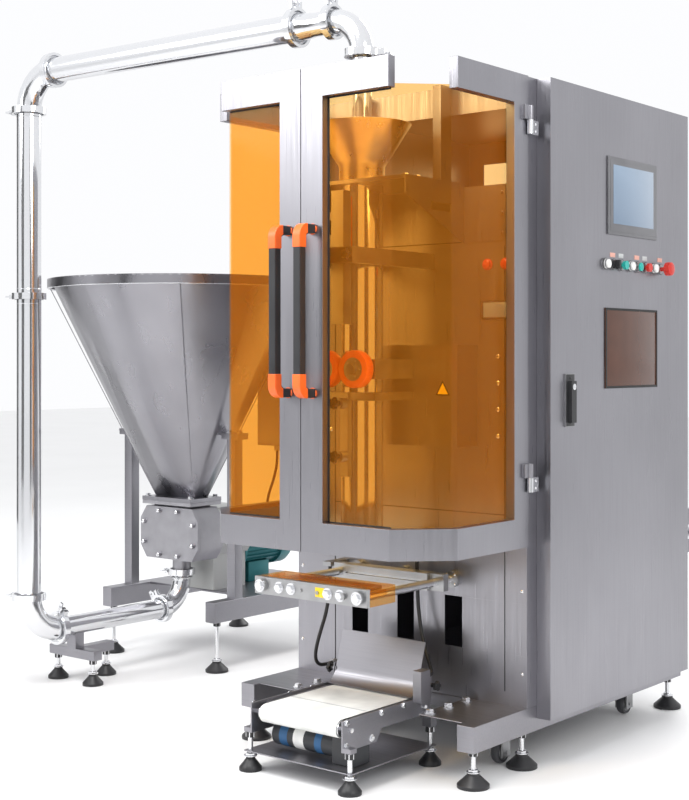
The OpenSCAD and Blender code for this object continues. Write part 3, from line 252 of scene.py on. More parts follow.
def gloss(finish, shader, source, low, high):
    """Roughness that swings between two values."""
    span = finish.node_tree.nodes.new("ShaderNodeMapRange")
    span.inputs["From Min"].default_value = 0.3
    span.inputs["From Max"].default_value = 0.7
    span.inputs["To Min"].default_value = low
    span.inputs["To Max"].default_value = high
    finish.node_tree.links.new(source, span.inputs["Value"])
    finish.node_tree.links.new(span.outputs["Result"], shader.inputs["Roughness"])


def relief(finish, shader, source, strength, depth):
    """Fine bumps from a source."""
    bump = finish.node_tree.nodes.new("ShaderNodeBump")
    bump.inputs["Strength"].default_value = strength
    bump.inputs["Distance"].default_value = depth
    finish.node_tree.links.new(source, bump.inputs["Height"])
    finish.node_tree.links.new(bump.outputs["Normal"], shader.inputs["Normal"])


def shade(colour, factor):
    """A colour made darker or lighter."""
    return tuple(min(1.0, c * factor) for c in colour)


def sheet_steel(name, colour, drawn, rough=0.34):
    """Brushed stainless sheet: fine lines one way, and faint handling marks."""
    finish, shader = blank_finish(name, colour, 1.0, rough)
    lines = grain(finish, 9.0, drawn, 6.0)
    clouds = grain(finish, 3.2, (1, 1, 0.6), 3.0)
    tint(finish, shader, clouds, shade(colour, 0.93), shade(colour, 1.06))
    gloss(finish, shader, lines, rough - 0.07, rough + 0.1)
    relief(finish, shader, lines, 0.05, 0.0003)
    return finish


def drawn_steel(name, colour, rough):
    """Polished tube and turned parts: bright, with a slight ripple."""
    finish, shader = blank_finish(name, colour, 1.0, rough)
    ripple = grain(finish, 26.0, (1, 1, 1), 3.0)
    tint(finish, shader, ripple, shade(colour, 0.9), shade(colour, 1.07))
    gloss(finish, shader, ripple, rough - 0.05, rough + 0.09)
    relief(finish, shader, ripple, 0.08, 0.0006)
    return finish


def moulded(name, colour, rough, pebble=420.0, depth=0.0003, metal=0.0):
    """Moulded or painted parts: an even colour with a fine pebbled skin."""
    finish, shader = blank_finish(name, colour, metal, rough)
    fine = grain(finish, pebble, (1, 1, 1), 2.0)
    broad = grain(finish, 14.0, (1, 1, 1), 3.0)
    tint(finish, shader, broad, shade(colour, 0.88), shade(colour, 1.1))
    gloss(finish, shader, broad, rough - 0.06, rough + 0.08)
    relief(finish, shader, fine, 0.18, depth)
    return finish


def tinted_sheet(name, colour, passed):
    """Clear coloured sheet: light passes through each face with a tint, and the face
    shines at a slant."""
    finish, shader = blank_finish(name, colour, 0.0, 0.1)
    nodes, links = finish.node_tree.nodes, finish.node_tree.links
    clouds = grain(finish, 5.0, (1, 1, 0.5), 3.0)
    tint(finish, shader, clouds, shade(colour, 0.9), shade(colour, 1.08))
    gloss(finish, shader, clouds, 0.05, 0.14)
    through = nodes.new("ShaderNodeBsdfTransparent")
    through.inputs["Color"].default_value = (*passed, 1)
    slant = nodes.new("ShaderNodeLayerWeight")
    slant.inputs["Blend"].default_value = 0.15
    share = nodes.new("ShaderNodeMapRange")
    share.inputs["To Min"].default_value = 0.08
    share.inputs["To Max"].default_value = 0.4
    mix = nodes.new("ShaderNodeMixShader")
    links.new(slant.outputs["Fresnel"], share.inputs["Value"])
    links.new(share.outputs["Result"], mix.inputs["Fac"])
    links.new(through.outputs["BSDF"], mix.inputs[1])
    links.new(shader.outputs["BSDF"], mix.inputs[2])
    links.new(mix.outputs["Shader"], nodes["Material Output"].inputs["Surface"])
    return finish


def glowing(name, low, high, strength):
    """A lit display: soft bands of two colours behind glass."""
    finish, shader = blank_finish(name, low, 0.0, 0.15)
    bands = grain(finish, 2.2, (1, 1, 2.5), 1.0)
    tint(finish, shader, bands, low, high)
    shader.inputs["Emission Color"].default_value = (*high, 1)
    shader.inputs["Emission Strength"].default_value = strength
    shader.inputs["Coat Weight"].default_value = 0.6
    return finish


# ---- settings ----

def length(name, default, description, low=0.0005, high=2.0):
    return bpy.props.FloatProperty(name=name, description=description, default=default,
                                   min=low, max=high, unit="LENGTH")


def colour(name, default, description):
    return bpy.props.FloatVectorProperty(name=name, description=description, size=3,
                                         default=default, min=0, max=1, subtype="COLOR")


class LineFinish(bpy.types.PropertyGroup):
    sheet: colour("Sheet steel", (0.325, 0.32, 0.345), "Brushed sheet of the body")
    tube: colour("Tube steel", (0.40, 0.395, 0.39), "Polished pipes and shafts")
    amber: colour("Window sheet", (0.95, 0.30, 0.015), "Tinted sheet of the guard doors")
    orange: colour("Orange", (0.86, 0.14, 0.02), "Handle ends and pull wheel tyres")
    teal: colour("Motor paint", (0.12, 0.22, 0.23), "Paint of the pump's motor")
    grey: colour("Grey paint", (0.42, 0.43, 0.43), "Paint of the gearbox and control box")
    passed: colour("Passed light", (1.0, 0.83, 0.52), "Light through one window face")


class LineSizes(bpy.types.PropertyGroup):
    edge: length("Edge rounding", 0.0015, "Rounding of the sheet metal's edges")
    screw: length("Screw head", 0.007, "Radius of the domed screw heads")
    bolt: length("Bolt head", 0.019, "Width across the flats of the bolt heads")
    cap: length("Handle end", 0.058, "Length of the orange end of a handle")
    knob: length("Star knob", 0.017, "Radius of the star knobs")
    fin: length("Motor fin", 0.006, "Reach of the motor's cooling fins")
    fins: bpy.props.IntProperty(name="Fins", description="Number of cooling fins",
                                default=28, min=8, max=60)
    ribs: bpy.props.IntProperty(name="Tyre ribs", description="Ribs of a pull wheel",
                                default=40, min=12, max=90)


# ---- camera and cables ----

EYE = (2316.3, -3095.9, 1043.3)
HEADING = 39.25
LENS = 64.35
RISE = -0.0525
CABLE_D = 10 * MM
# Routes in millimetres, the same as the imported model's
JAW_ROUTE = [(-216, -60, 470), (-216, -60, 445), (-216, -62, 410), (-218, -66, 372),
             (-221, -74, 334), (-226, -85, 298), (-232, -93, 264), (-239, -94, 232),
             (-245, -84, 207), (-248, -64, 193), (-248, -40, 190), (-248, -14, 190)]
BELT_ROUTE = [(60, -30, 575), (60, -30, 550), (60, -30, 510), (61, -30, 465),
              (63, -31, 420), (68, -33, 375), (78, -38, 333), (94, -47, 296),
              (115, -61, 266), (137, -78, 244), (154, -94, 232), (163, -112, 230),
              (163, -130, 230)]
PUMP_ROUTE = [(-1192, 808, 705), (-1192, 808, 680), (-1194, 807, 650),
              (-1200, 805, 620), (-1208, 802, 590), (-1217, 797, 560),
              (-1223, 793, 532), (-1225, 791, 508), (-1225, 791, 485)]


def smooth_route(points, steps=4):
    """Points on an even curve through the route's points."""
    ends = [points[0] * 2 - points[1]] + points + [points[-1] * 2 - points[-2]]
    path = []
    for i in range(1, len(ends) - 2):
        a, b, c, d = ends[i - 1:i + 3]
        for k in range(steps):
            t = k / steps
            path.append(0.5 * (2 * b + (c - a) * t + (2 * a - 5 * b + 4 * c - d) * t ** 2
                               + (3 * b - a - 3 * c + d) * t ** 3))
    return path + [points[-1]]


class LINE_OT_camera(bpy.types.Operator):
    """Adds the camera"""
    bl_idname = "line.camera"
    bl_label = "Camera"

    def execute(self, context):
        data = bpy.data.cameras.new("line_camera")
        data.lens = LENS
        data.shift_y = RISE
        data.clip_end = 100
        camera = bpy.data.objects.new("line_camera", data)
        context.scene.collection.objects.link(camera)
        camera.location = place(*EYE)
        camera.rotation_euler = (math.radians(90), 0, math.radians(HEADING))
        context.scene.camera = camera
        return {"FINISHED"}


class LINE_OT_cables(bpy.types.Operator):
    """Adds the three black cables"""
    bl_idname = "line.cables"
    bl_label = "Cables"

    def execute(self, context):
        rubber = moulded("cable_rubber", (0.018, 0.018, 0.02), 0.45, 600.0)
        for name, route in (("jaw_cable", JAW_ROUTE), ("belt_cable", BELT_ROUTE),
                            ("pump_cable", PUMP_ROUTE)):
            path = smooth_route([place(*p) for p in route])
            curve = bpy.data.curves.new(name, "CURVE")
            curve.dimensions = "3D"
            curve.bevel_depth = CABLE_D / 2
            curve.bevel_resolution = 4
            curve.use_fill_caps = True
            line = curve.splines.new("POLY")
            line.points.add(len(path) - 1)
            for spot, p in zip(line.points, path):
                spot.co = (*p, 1)
            curve.materials.append(rubber)
            cable = bpy.data.objects.new(name, curve)
            context.scene.collection.objects.link(cable)
            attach(cable, "machine")
            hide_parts("machine_cables")
        return {"FINISHED"}


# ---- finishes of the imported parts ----

PLAIN_FINISHES = {
    "sheet_upright": ("cabinet_shell", "front_wall", "electrical_door", "drive_cover",
                      "guard_frame_right", "guard_frame_left", "collar_mount"),
    "sheet_level": ("base_frame", "pump_stand", "conveyor_frame", "chute_plate",
                    "film_cradle"),
    "hopper_steel": ("hopper",),
    "bright_steel": ("feed_pipes", "pipe_elbows", "pipe_clamps", "hinge_pins",
                     "forming_tube", "jaw_rods", "film_shaft", "guide_roller",
                     "cutter_blade", "drive_roller", "tail_roller", "drive_rotor",
                     "idler_rotor"),
    "cast_alloy": ("pump_cover", "pump_body"),
    "collar_steel": ("forming_collar",),
    "machined_alloy": ("film_brackets", "jaw_drive", "dancer_arm", "caster_brackets",
                       "door_fittings"),
    "jaw_alloy": ("front_jaw", "rear_jaw", "vertical_seal_bar"),
    "guard_amber": ("guard_window_right", "guard_window_left", "jaw_guard"),
    "handle_black": ("guard_handle_right", "guard_handle_left", "lock_lever",
                     "selector_knob", "levelling_feet"),
    "motor_black": ("conveyor_motor",),
    "red_cap": ("stop_button", "emergency_stop"),
    "green_cap": ("start_button",),
    "white_paint": ("electrical_plate",),
    "grey_paint": ("pump_gearbox", "control_box"),
    "belt_white": ("conveyor_belt",),
}
# Colour, roughness, and for a finer skin its pebbles and their depth
MOULDED = {
    "handle_black": ((0.02, 0.02, 0.022), 0.42),
    "motor_black": ((0.03, 0.032, 0.036), 0.4),
    "bezel_grey": ((0.16, 0.16, 0.17), 0.36),
    "red_cap": ((0.62, 0.025, 0.02), 0.28, 700.0, 0.0001),
    "green_cap": ((0.01, 0.34, 0.27), 0.28, 700.0, 0.0001),
    "white_paint": ((0.78, 0.78, 0.76), 0.4),
    "belt_white": ((0.82, 0.83, 0.8), 0.62, 900.0, 0.0004),
    "white_cap": ((0.85, 0.85, 0.83), 0.3, 700.0, 0.0001),
    "label_peach": ((0.8, 0.42, 0.34), 0.5),
    "label_grey": ((0.55, 0.56, 0.56), 0.5),
    "sign_yellow": ((0.9, 0.62, 0.02), 0.4),
    "seal_black": ((0.015, 0.015, 0.015), 0.6),
    "band_blue": ((0.02, 0.1, 0.24), 0.4),
    "window_brown": ((0.09, 0.035, 0.02), 0.14, 60.0, 0.0001),
    "caster_grey": ((0.05, 0.05, 0.055), 0.5),
}
# Parts of flat sheet with many cut-outs, which keep crisp edges
CRISP_NODES = ("electrical_door", "front_wall", "cabinet_shell", "hopper")


class LINE_OT_finishes(bpy.types.Operator):
    """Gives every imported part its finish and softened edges"""
    bl_idname = "line.finishes"
    bl_label = "Finishes"

    def execute(self, context):
        tones = context.scene.line_finish
        sizes = context.scene.line_sizes
        sheet = tuple(tones.sheet)
        tube = tuple(tones.tube)
        sheet_steel("sheet_upright", sheet, (30, 30, 0.6))
        sheet_steel("sheet_level", shade(sheet, 0.97), (0.8, 30, 30), 0.38)
        sheet_steel("hopper_steel", shade(sheet, 0.95), (1.5, 1.5, 0.6), 0.3)
        drawn_steel("bright_steel", tube, 0.2)
        drawn_steel("collar_steel", (0.75, 0.66, 0.5), 0.3)
        drawn_steel("cast_alloy", (0.4, 0.395, 0.42), 0.48)
        drawn_steel("machined_alloy", (0.4, 0.4, 0.41), 0.36)
        drawn_steel("jaw_alloy", (0.42, 0.42, 0.425), 0.33)
        tinted_sheet("guard_amber", tuple(tones.amber), tuple(tones.passed))
        moulded("grey_paint", tuple(tones.grey), 0.42)
        moulded("teal_paint", tuple(tones.teal), 0.4)
        moulded("orange_cap", tuple(tones.orange), 0.38, 500.0, 0.0002)
        for name, skin_values in MOULDED.items():
            moulded(name, *skin_values)
        glowing("screen_lit", (0.12, 0.17, 0.24), (0.2, 0.27, 0.36), 0.25)
        for finish, nodes in PLAIN_FINISHES.items():
            for node in nodes:
                part = frame["nodes"][node]
                part.data.materials.clear()
                part.data.materials.append(bpy.data.materials[finish])
                self.soften(part, sizes.edge)
        return {"FINISHED"}

    def soften(self, part, edge):
        """Joins the part's faces, rounds its sharp edges and evens its shading."""
        if "custom_normal" in part.data.attributes:
            part.data.attributes.remove(part.data.attributes["custom_normal"])
        for face in part.data.polygons:
            face.use_smooth = True
        weld = part.modifiers.new("join", "WELD")
        weld.merge_threshold = 0.00001
        if part.name in CRISP_NODES:
            part.modifiers.new("crisp", "EDGE_SPLIT").split_angle = math.radians(35)
            return
        low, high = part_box(part["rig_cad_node"])
        bevel = part.modifiers.new("edges", "BEVEL")
        bevel.width = min(edge, min(high - low) / 5)
        bevel.segments = 1
        bevel.limit_method = "ANGLE"
        bevel.angle_limit = math.radians(40)
        even = part.modifiers.new("shading", "WEIGHTED_NORMAL")
        even.keep_sharp = True
        even.weight = 80


# ---- guard doors ----

class LINE_OT_guard_details(bpy.types.Operator):
    """Adds the orange handle ends and the window seals"""
    bl_idname = "line.guard_details"
    bl_label = "Guard door details"

    def execute(self, context):
        sizes = context.scene.line_sizes
        for side, name in ((1, "right"), (-1, "left")):
            body = "guard_" + name
            self.handle_ends(name, body, sizes)
            self.seal(name, body, side)
        return {"FINISHED"}

    def handle_ends(self, name, body, sizes):
        low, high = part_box("guard_handle_" + name)
        grow = 0.0012
        mid_x = (low.x + high.x) / 2
        wide = (high.x - low.x) / 2 + grow
        reach = high.y - low.y
        grip = 22 * MM
        bend = reach * 0.5
        bm = bmesh.new()
        for end, up in ((low.z, 1), (high.z, -1)):
            outline = []
            inner = []
            for i in range(9):
                angle = math.radians(90) * i / 8
                outline.append((low.y - grow + bend * (1 - math.sin(angle)),
                                bend * (1 - math.cos(angle)) - grow))
            for i in range(9):
                angle = math.radians(90) * i / 8
                tight = bend - grip - 2 * grow
                inner.append((low.y - grow + bend - tight * math.sin(angle),
                              bend - grow - tight * math.cos(angle)))
            tip = sizes.cap
            edge = [(outline[-1][0], tip)] + list(reversed(outline))
            edge += inner + [(inner[-1][0], tip)]
            spots = [Vector((mid_x - wide, y, end + up * z)) for y, z in edge]
            slab(bm, spots, Vector((2 * wide, 0, 0)))
            feet = end + up * (grip / 2)
            foot = Vector((mid_x, high.y - 4 * MM, feet))
            turned(bm, [(grip * 0.62, 0), (grip * 0.62, 3.6 * MM)], foot, "Y", 24)
        piece = finish_piece("handle_ends_" + name, bm, "orange_cap", body)
        soft = piece.modifiers.new("edges", "BEVEL")
        soft.width = 0.002
        soft.segments = 2
        soft.limit_method = "ANGLE"

    def seal(self, name, body, side):
        low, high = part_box("guard_window_" + name)
        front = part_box("guard_frame_" + name)[0].y + 22 * MM
        thick = 3 * MM
        inner_x = TUBE_AXIS.x + side * 70 * MM
        far_x = TUBE_AXIS.x + side * 262 * MM
        bottom = low.z + 12 * MM
        top = high.z - 12 * MM
        bm = bmesh.new()
        for a, b in (((inner_x, bottom), (far_x, bottom + thick)),
                     ((inner_x, top - thick), (far_x, top)),
                     ((inner_x, bottom), (inner_x + side * thick, top))):
            x = sorted((a[0], b[0]))
            z = sorted((a[1], b[1]))
            brick(bm, Vector((x[0], front, z[0])), Vector((x[1], front + thick, z[1])),
                  0.0006)
        finish_piece("window_seal_" + name, bm, "seal_black", body)


# ---- control door ----

STATION_Z = 1297
STATION_Y = 324
STATION_STEP = 46
WHITE_LAMPS = (0, 3, 6)
GREEN_BLANK = 4
LABELS = {1: "label_peach", 2: "label_grey", 4: "label_peach", 5: "label_grey",
          7: "label_peach"}


def station(i, reach=0.0):
    """Middle of a control station, out from the control door's face."""
    spot = place(0, STATION_Y + STATION_STEP * i, STATION_Z)
    spot.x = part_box("electrical_door")[1].x + reach * MM
    return spot


class LINE_OT_control_door(bpy.types.Operator):
    """Adds the touch screen, the brown window, lamp caps, labels and lock parts"""
    bl_idname = "line.control_door"
    bl_label = "Control door details"

    def execute(self, context):
        sizes = context.scene.line_sizes
        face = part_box("electrical_door")[1].x
        self.screen(face)
        self.window(face)
        self.lamps()
        self.labels(face)
        self.lock(face, sizes)
        self.hinge_screws(sizes)
        return {"FINISHED"}

    def screen(self, face):
        low, high = place(0, 340, 1378), place(0, 620, 1590)
        bezel = bmesh.new()
        brick(bezel, Vector((face, low.y, low.z)), Vector((face + 5 * MM, high.y, high.z)),
              0.0018)
        edge = 9 * MM
        brick(bezel, Vector((face + 5 * MM, low.y + edge, low.z + edge)),
              Vector((face + 6 * MM, high.y - edge, high.z - edge)), 0.0004)
        finish_piece("screen_bezel", bezel, "bezel_grey", "side_door",
                     ["door_displays"])
        glass = bmesh.new()
        brick(glass, Vector((face + 6 * MM, low.y + 24 * MM, low.z + 30 * MM)),
              Vector((face + 6.6 * MM, high.y - 24 * MM, high.z - 22 * MM)), 0.0003)
        finish_piece("screen_glass", glass, "screen_lit", "side_door")

    def window(self, face):
        low, high = place(0, 327, 961), place(0, 625, 1179)
        pane = bmesh.new()
        brick(pane, Vector((face, low.y, low.z)), Vector((face + 3 * MM, high.y, high.z)),
              0.001)
        finish_piece("brown_window", pane, "window_brown", "side_door",
                     ["door_displays"])
        trim = bmesh.new()
        wide = 6 * MM
        for y in (low.y, high.y - wide):
            brick(trim, Vector((face + 3 * MM, y, low.z)),
                  Vector((face + 4 * MM, y + wide, high.z)), 0.0004)
        for z in (low.z, high.z - wide):
            brick(trim, Vector((face + 3 * MM, low.y + wide, z)),
                  Vector((face + 4 * MM, high.y - wide, z + wide)), 0.0004)
        finish_piece("window_trim", trim, "seal_black", "side_door")

    def lamps(self):
        outline = profile((12, 0), (12, 2), (11.4, 4.4), (8.5, 6.2), (4, 7))
        white = bmesh.new()
        for i in WHITE_LAMPS:
            turned(white, outline, station(i, 12), "X", 32)
            hoop(white, station(i, 7), "X", 12.2 * MM, 0.8 * MM, 32, 8)
        finish_piece("white_lamps", white, "white_cap", "side_door")
        green = bmesh.new()
        turned(green, outline, station(GREEN_BLANK, 12), "X", 32)
        finish_piece("green_lamp", green, "green_cap", "side_door")
        rings = bmesh.new()
        for i in range(8):
            hoop(rings, station(i, 4.4), "X", 15 * MM, 0.9 * MM, 40, 8)
        finish_piece("bezel_rings", rings, "handle_black", "side_door")
        cap = bmesh.new()
        turned(cap, profile((19, 0), (18.6, 2), (15, 4.6), (8, 5.8)), station(7, 36), "X", 40)
        hoop(cap, station(7, 29), "X", 18.8 * MM, 1.1 * MM, 40, 8)
        finish_piece("stop_mushroom", cap, "red_cap", "estop")

    def labels(self, face):
        for tone in ("label_peach", "label_grey"):
            bm = bmesh.new()
            for i, name in LABELS.items():
                if name == tone:
                    spot = station(i)
                    brick(bm, Vector((face, spot.y - 14 * MM, spot.z + 20 * MM)),
                          Vector((face + 0.8 * MM, spot.y + 14 * MM, spot.z + 32 * MM)),
                          0.0003)
            finish_piece(tone + "s", bm, tone, "side_door")

    def lock(self, face, sizes):
        low, high = place(0, 116, 867), place(0, 158, 1001)
        bm = bmesh.new()
        brick(bm, Vector((face + 5 * MM, low.y, low.z)),
              Vector((face + 5.25 * MM, high.y, high.z)), 0.0001)
        for z in (low.z + 8 * MM, high.z - 8 * MM):
            dome(bm, Vector((face + 5.2 * MM, (low.y + high.y) / 2, z)), "X",
                 sizes.screw * 0.6, 0.0015)
        finish_piece("lock_plate_face", bm, "handle_black", "side_door")
        cylinder = bmesh.new()
        spot = place(0, 137, 969)
        spot.x = face + 17 * MM
        turned(cylinder, profile((8, 0), (8, 1.2), (6.6, 2)), spot, "X")
        finish_piece("lock_cylinder", cylinder, "bright_steel", "lock")

    def hinge_screws(self, sizes):
        bm = bmesh.new()
        for side in (1, -1):
            for z in (705, 1608):
                for dz in (9, 27):
                    spot = place(side * 399, 18, z + dz)
                    dome(bm, spot, "X", sizes.screw * 0.55, 0.0018, side < 0)
        finish_piece("hinge_screws", bm, "bright_steel", "machine")


# ---- front wall and forming section ----

JAW_Z = 463


class LINE_OT_wall_details(bpy.types.Operator):
    """Adds screws, warning triangles, sheet seams and the small panel of the front wall"""
    bl_idname = "line.wall_details"
    bl_label = "Front wall details"

    def execute(self, context):
        sizes = context.scene.line_sizes
        screws = bmesh.new()
        for x in (-368, 368):
            for z in range(240, 1720, 210):
                dome(screws, place(x, 0, z), "Y", sizes.screw * 0.7, 0.002, True)
        for x in (-262, 301):
            for z in range(843, 1060, 68):
                dome(screws, place(x, -8 if x > 0 else 0, z), "Y", sizes.screw, 0.003, True)
        finish_piece("wall_screws", screws, "bright_steel", "machine")
        self.signs()
        self.seams()
        self.small_panel()
        self.bolts(sizes)
        return {"FINISHED"}

    def signs(self):
        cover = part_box("drive_cover")[0].y
        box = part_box("control_box")[0]
        spots = [(place(190, 0, 960), cover), (place(-60, 0, 900), cover),
                 (place(-1100, 0, 1030), box.y)]
        yellow = bmesh.new()
        border = bmesh.new()
        for spot, y in spots:
            for bm, size, out in ((border, 26, 0.5), (yellow, 19, 0.8)):
                corners = []
                for k in range(3):
                    angle = math.radians(90 + 120 * k)
                    corners.append(Vector((spot.x + size * MM * math.cos(angle),
                                           y - out * MM,
                                           spot.z + size * MM * math.sin(angle))))
                slab(bm, corners, Vector((0, 0.4 * MM, 0)))
        finish_piece("sign_borders", border, "handle_black", "machine")
        finish_piece("sign_faces", yellow, "sign_yellow", "machine")

    def seams(self):
        bm = bmesh.new()
        depth = 1.2 * MM
        for x in (-247, 316):
            low = place(x, 0, 190)
            high = place(x + 2, 0, 1330)
            brick(bm, Vector((low.x, low.y - depth, low.z)),
                  Vector((high.x, low.y, high.z)), 0.0003)
        for z in (1345, 640):
            low = place(-246, 0, z)
            high = place(316, 0, z + 2)
            brick(bm, Vector((low.x, low.y - depth, low.z)),
                  Vector((high.x, low.y, high.z)), 0.0003)
        finish_piece("wall_seams", bm, "seal_black", "machine")

    def small_panel(self):
        rim = bmesh.new()
        low, high = place(250, -7, 1142), place(346, 0, 1192)
        brick(rim, low, high, 0.002)
        finish_piece("counter_frame", rim, "handle_black", "machine")
        face = bmesh.new()
        brick(face, low + Vector((6 * MM, -0.8 * MM, 6 * MM)),
              Vector((high.x - 6 * MM, low.y, high.z - 6 * MM)), 0.0003)
        finish_piece("counter_face", face, "screen_lit", "machine")
        buttons = bmesh.new()
        for x in (265, 320):
            turned(buttons, profile((15, 0), (15, 3), (11, 4), (11, 9), (8, 11)),
                   place(x, 0, 1285), "Y", 32, True)
        finish_piece("wall_buttons", buttons, "red_cap", "machine")

    def bolts(self, sizes):
        """Bolt heads of the decks, the collar shelf and the jaw bushes."""
        bm = bmesh.new()
        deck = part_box("base_frame")[1].z
        for side in (1, -1):
            for y in (-190, -110, -30):
                hexagon(bm, place(side * 218, y, deck / MM), "Z", sizes.bolt, 0.011)
            for y in (-215, -165):
                hexagon(bm, place(side * 160, y, 1500), "Z", sizes.bolt * 0.8, 0.009)
            for angle in (45, 135, 225, 315):
                swing = math.radians(angle)
                spot = place(side * 158 + 17.5 * math.cos(swing), -14,
                             JAW_Z + 17.5 * math.sin(swing))
                dome(bm, spot, "Y", 0.0034, 0.003, True)
        finish_piece("frame_bolts", bm, "bright_steel", "machine")


def star_knob(bm, foot, axis, radius, flipped=False):
    """Adds a knob with five lobes on a short neck."""
    up = AXES[axis] * (-1 if flipped else 1)
    turned(bm, [(radius * 0.45, 0), (radius * 0.4, radius * 0.7)], foot, axis, 24, flipped)
    turn = up.to_track_quat("Z", "Y").to_matrix()
    levels = ((0.88, 0.7), (1.0, 0.85), (1.0, 1.25), (0.85, 1.45))
    rings = []
    count = 50
    for share, height in levels:
        ring = []
        for i in range(count):
            angle = math.tau * i / count
            reach = radius * share * (0.86 + 0.14 * math.cos(5 * angle))
            spot = Vector((reach * math.cos(angle), reach * math.sin(angle),
                           radius * height))
            ring.append(bm.verts.new(foot + turn @ spot))
        rings.append(ring)
    skin(bm, rings)


class LINE_OT_forming_details(bpy.types.Operator):
    """Adds the pull wheels with ribbed tyres, star knobs and the seal's fittings"""
    bl_idname = "line.forming_details"
    bl_label = "Forming section details"

    def execute(self, context):
        sizes = context.scene.line_sizes
        for name in ("left", "right"):
            self.wheel(name, sizes)
        knobs = bmesh.new()
        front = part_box("film_brackets")[0].y
        for z in (792, 928):
            star_knob(knobs, place(0, -287, z), "Y", sizes.knob, True)
        for side in (1, -1):
            star_knob(knobs, place(side * 86, -348, 1300), "Y", sizes.knob * 0.8, True)
        finish_piece("star_knobs", knobs, "handle_black", "machine")
        port = bmesh.new()
        for z in (1313, 1289):
            turned(port, profile((4, 0), (4, 6), (3, 9)),
                   Vector((TUBE_AXIS.x + 20 * MM, front + 14 * MM, z * MM)), "X", 20)
        finish_piece("air_ports", port, "orange_cap", "machine")
        rim = bmesh.new()
        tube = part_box("forming_tube")
        hoop(rim, Vector((TUBE_AXIS.x, TUBE_AXIS.y, tube[0].z + 3 * MM)), "Z",
             54.2 * MM, 1.4 * MM)
        finish_piece("tube_rim", rim, "bright_steel", "machine")
        cushion = bmesh.new()
        low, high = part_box("vertical_seal_bar")
        brick(cushion, Vector((TUBE_AXIS.x - 6 * MM, high.y, low.z + 180 * MM)),
              Vector((TUBE_AXIS.x + 6 * MM, high.y + 0.6 * MM, high.z - 10 * MM)), 0.0002)
        finish_piece("seal_strip", cushion, "orange_cap", "long_seal")
        return {"FINISHED"}

    def wheel(self, name, sizes):
        node = "pull_wheel_" + name
        low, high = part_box(node)
        radius = (high.z - low.z) / 2
        hub = Vector(((low.x + high.x) / 2, low.y, (low.z + high.z) / 2))
        body = "wheel_" + name
        wide = 28 * MM
        rim_y = 12 * MM
        tyre = bmesh.new()
        count = sizes.ribs * 4
        levels = ((0.62, 0), (0.95, 0), (1.0, 0.1), (1.0, 0.9), (0.95, 1.0), (0.62, 1.0))
        rings = []
        for share, across in levels:
            ring = []
            for i in range(count):
                angle = math.tau * i / count
                rib = 0.985 if share == 1.0 and i % 4 in (2, 3) else 1.0
                reach = radius * share * rib
                ring.append(tyre.verts.new(hub + Vector((
                    reach * math.cos(angle), rim_y + wide * across,
                    reach * math.sin(angle)))))
            rings.append(ring)
        skin(tyre, rings, closed=True)
        finish_piece("tyre_" + name, tyre, "orange_cap", body, [node])
        core = bmesh.new()
        flat = radius * 0.62
        turned(core, [(flat, rim_y + 1 * MM), (flat, rim_y + wide - 1 * MM)], hub, "Y", 48)
        turned(core, [(13 * MM, 0), (13 * MM, rim_y + 2 * MM)], hub, "Y", 32)
        turned(core, [(6 * MM, rim_y + wide - 2 * MM), (6 * MM, high.y - low.y)],
               hub, "Y", 24)
        for k in range(5):
            angle = math.tau * k / 5
            spot = hub + Vector((21 * MM * math.cos(angle), rim_y + 1 * MM,
                                 21 * MM * math.sin(angle)))
            dome(core, spot, "Y", 0.0032, 0.0022, True)
        finish_piece("wheel_core_" + name, core, "machined_alloy", body,
                     [node])


class LINE_OT_jaw_details(bpy.types.Operator):
    """Adds the jaws' bolts, serrated faces and label"""
    bl_idname = "line.jaw_details"
    bl_label = "Sealing jaw details"

    def execute(self, context):
        sizes = context.scene.line_sizes
        bm = bmesh.new()
        for x in (-100, -60, 60, 100):
            hexagon(bm, place(x, -400, JAW_Z), "Y", sizes.bolt, 0.01, True)
        for x in (-158, 158):
            hexagon(bm, place(x, -409, JAW_Z), "Y", sizes.bolt * 1.1, 0.008, True)
        finish_piece("jaw_bolts", bm, "bright_steel", "jaw_front")
        teeth = bmesh.new()
        self.serrations(teeth, place(0, -285, 0).y, -1)
        finish_piece("front_serrations", teeth, "jaw_alloy", "jaw_front")
        teeth = bmesh.new()
        self.serrations(teeth, place(0, -94, 0).y, 1)
        finish_piece("rear_serrations", teeth, "jaw_alloy", "jaw_rear")
        label = bmesh.new()
        brick(label, place(20, -400.5, 452), place(48, -400, 476), 0.0002)
        finish_piece("jaw_label", label, "sign_yellow", "jaw_front")
        return {"FINISHED"}

    def serrations(self, bm, face, side):
        """Fine level ridges above and below the knife's slot, within the face's plane."""
        for z in (448, 450.5, 453, 455.5, 469, 471.5, 474, 476.5):
            low = place(-132, 0, z)
            high = place(132, 0, z + 1.2)
            out = 0.35 * MM
            near, far = sorted((face, face - side * out))
            brick(bm, Vector((low.x, near, low.z)), Vector((high.x, far, high.z)), 0.0001)


# ---- pipes, pump and hopper ----

LOW_PIPE_Z = 183
RISER_Y = -255
PUMP_X = -1280
PUMP_Y = 408


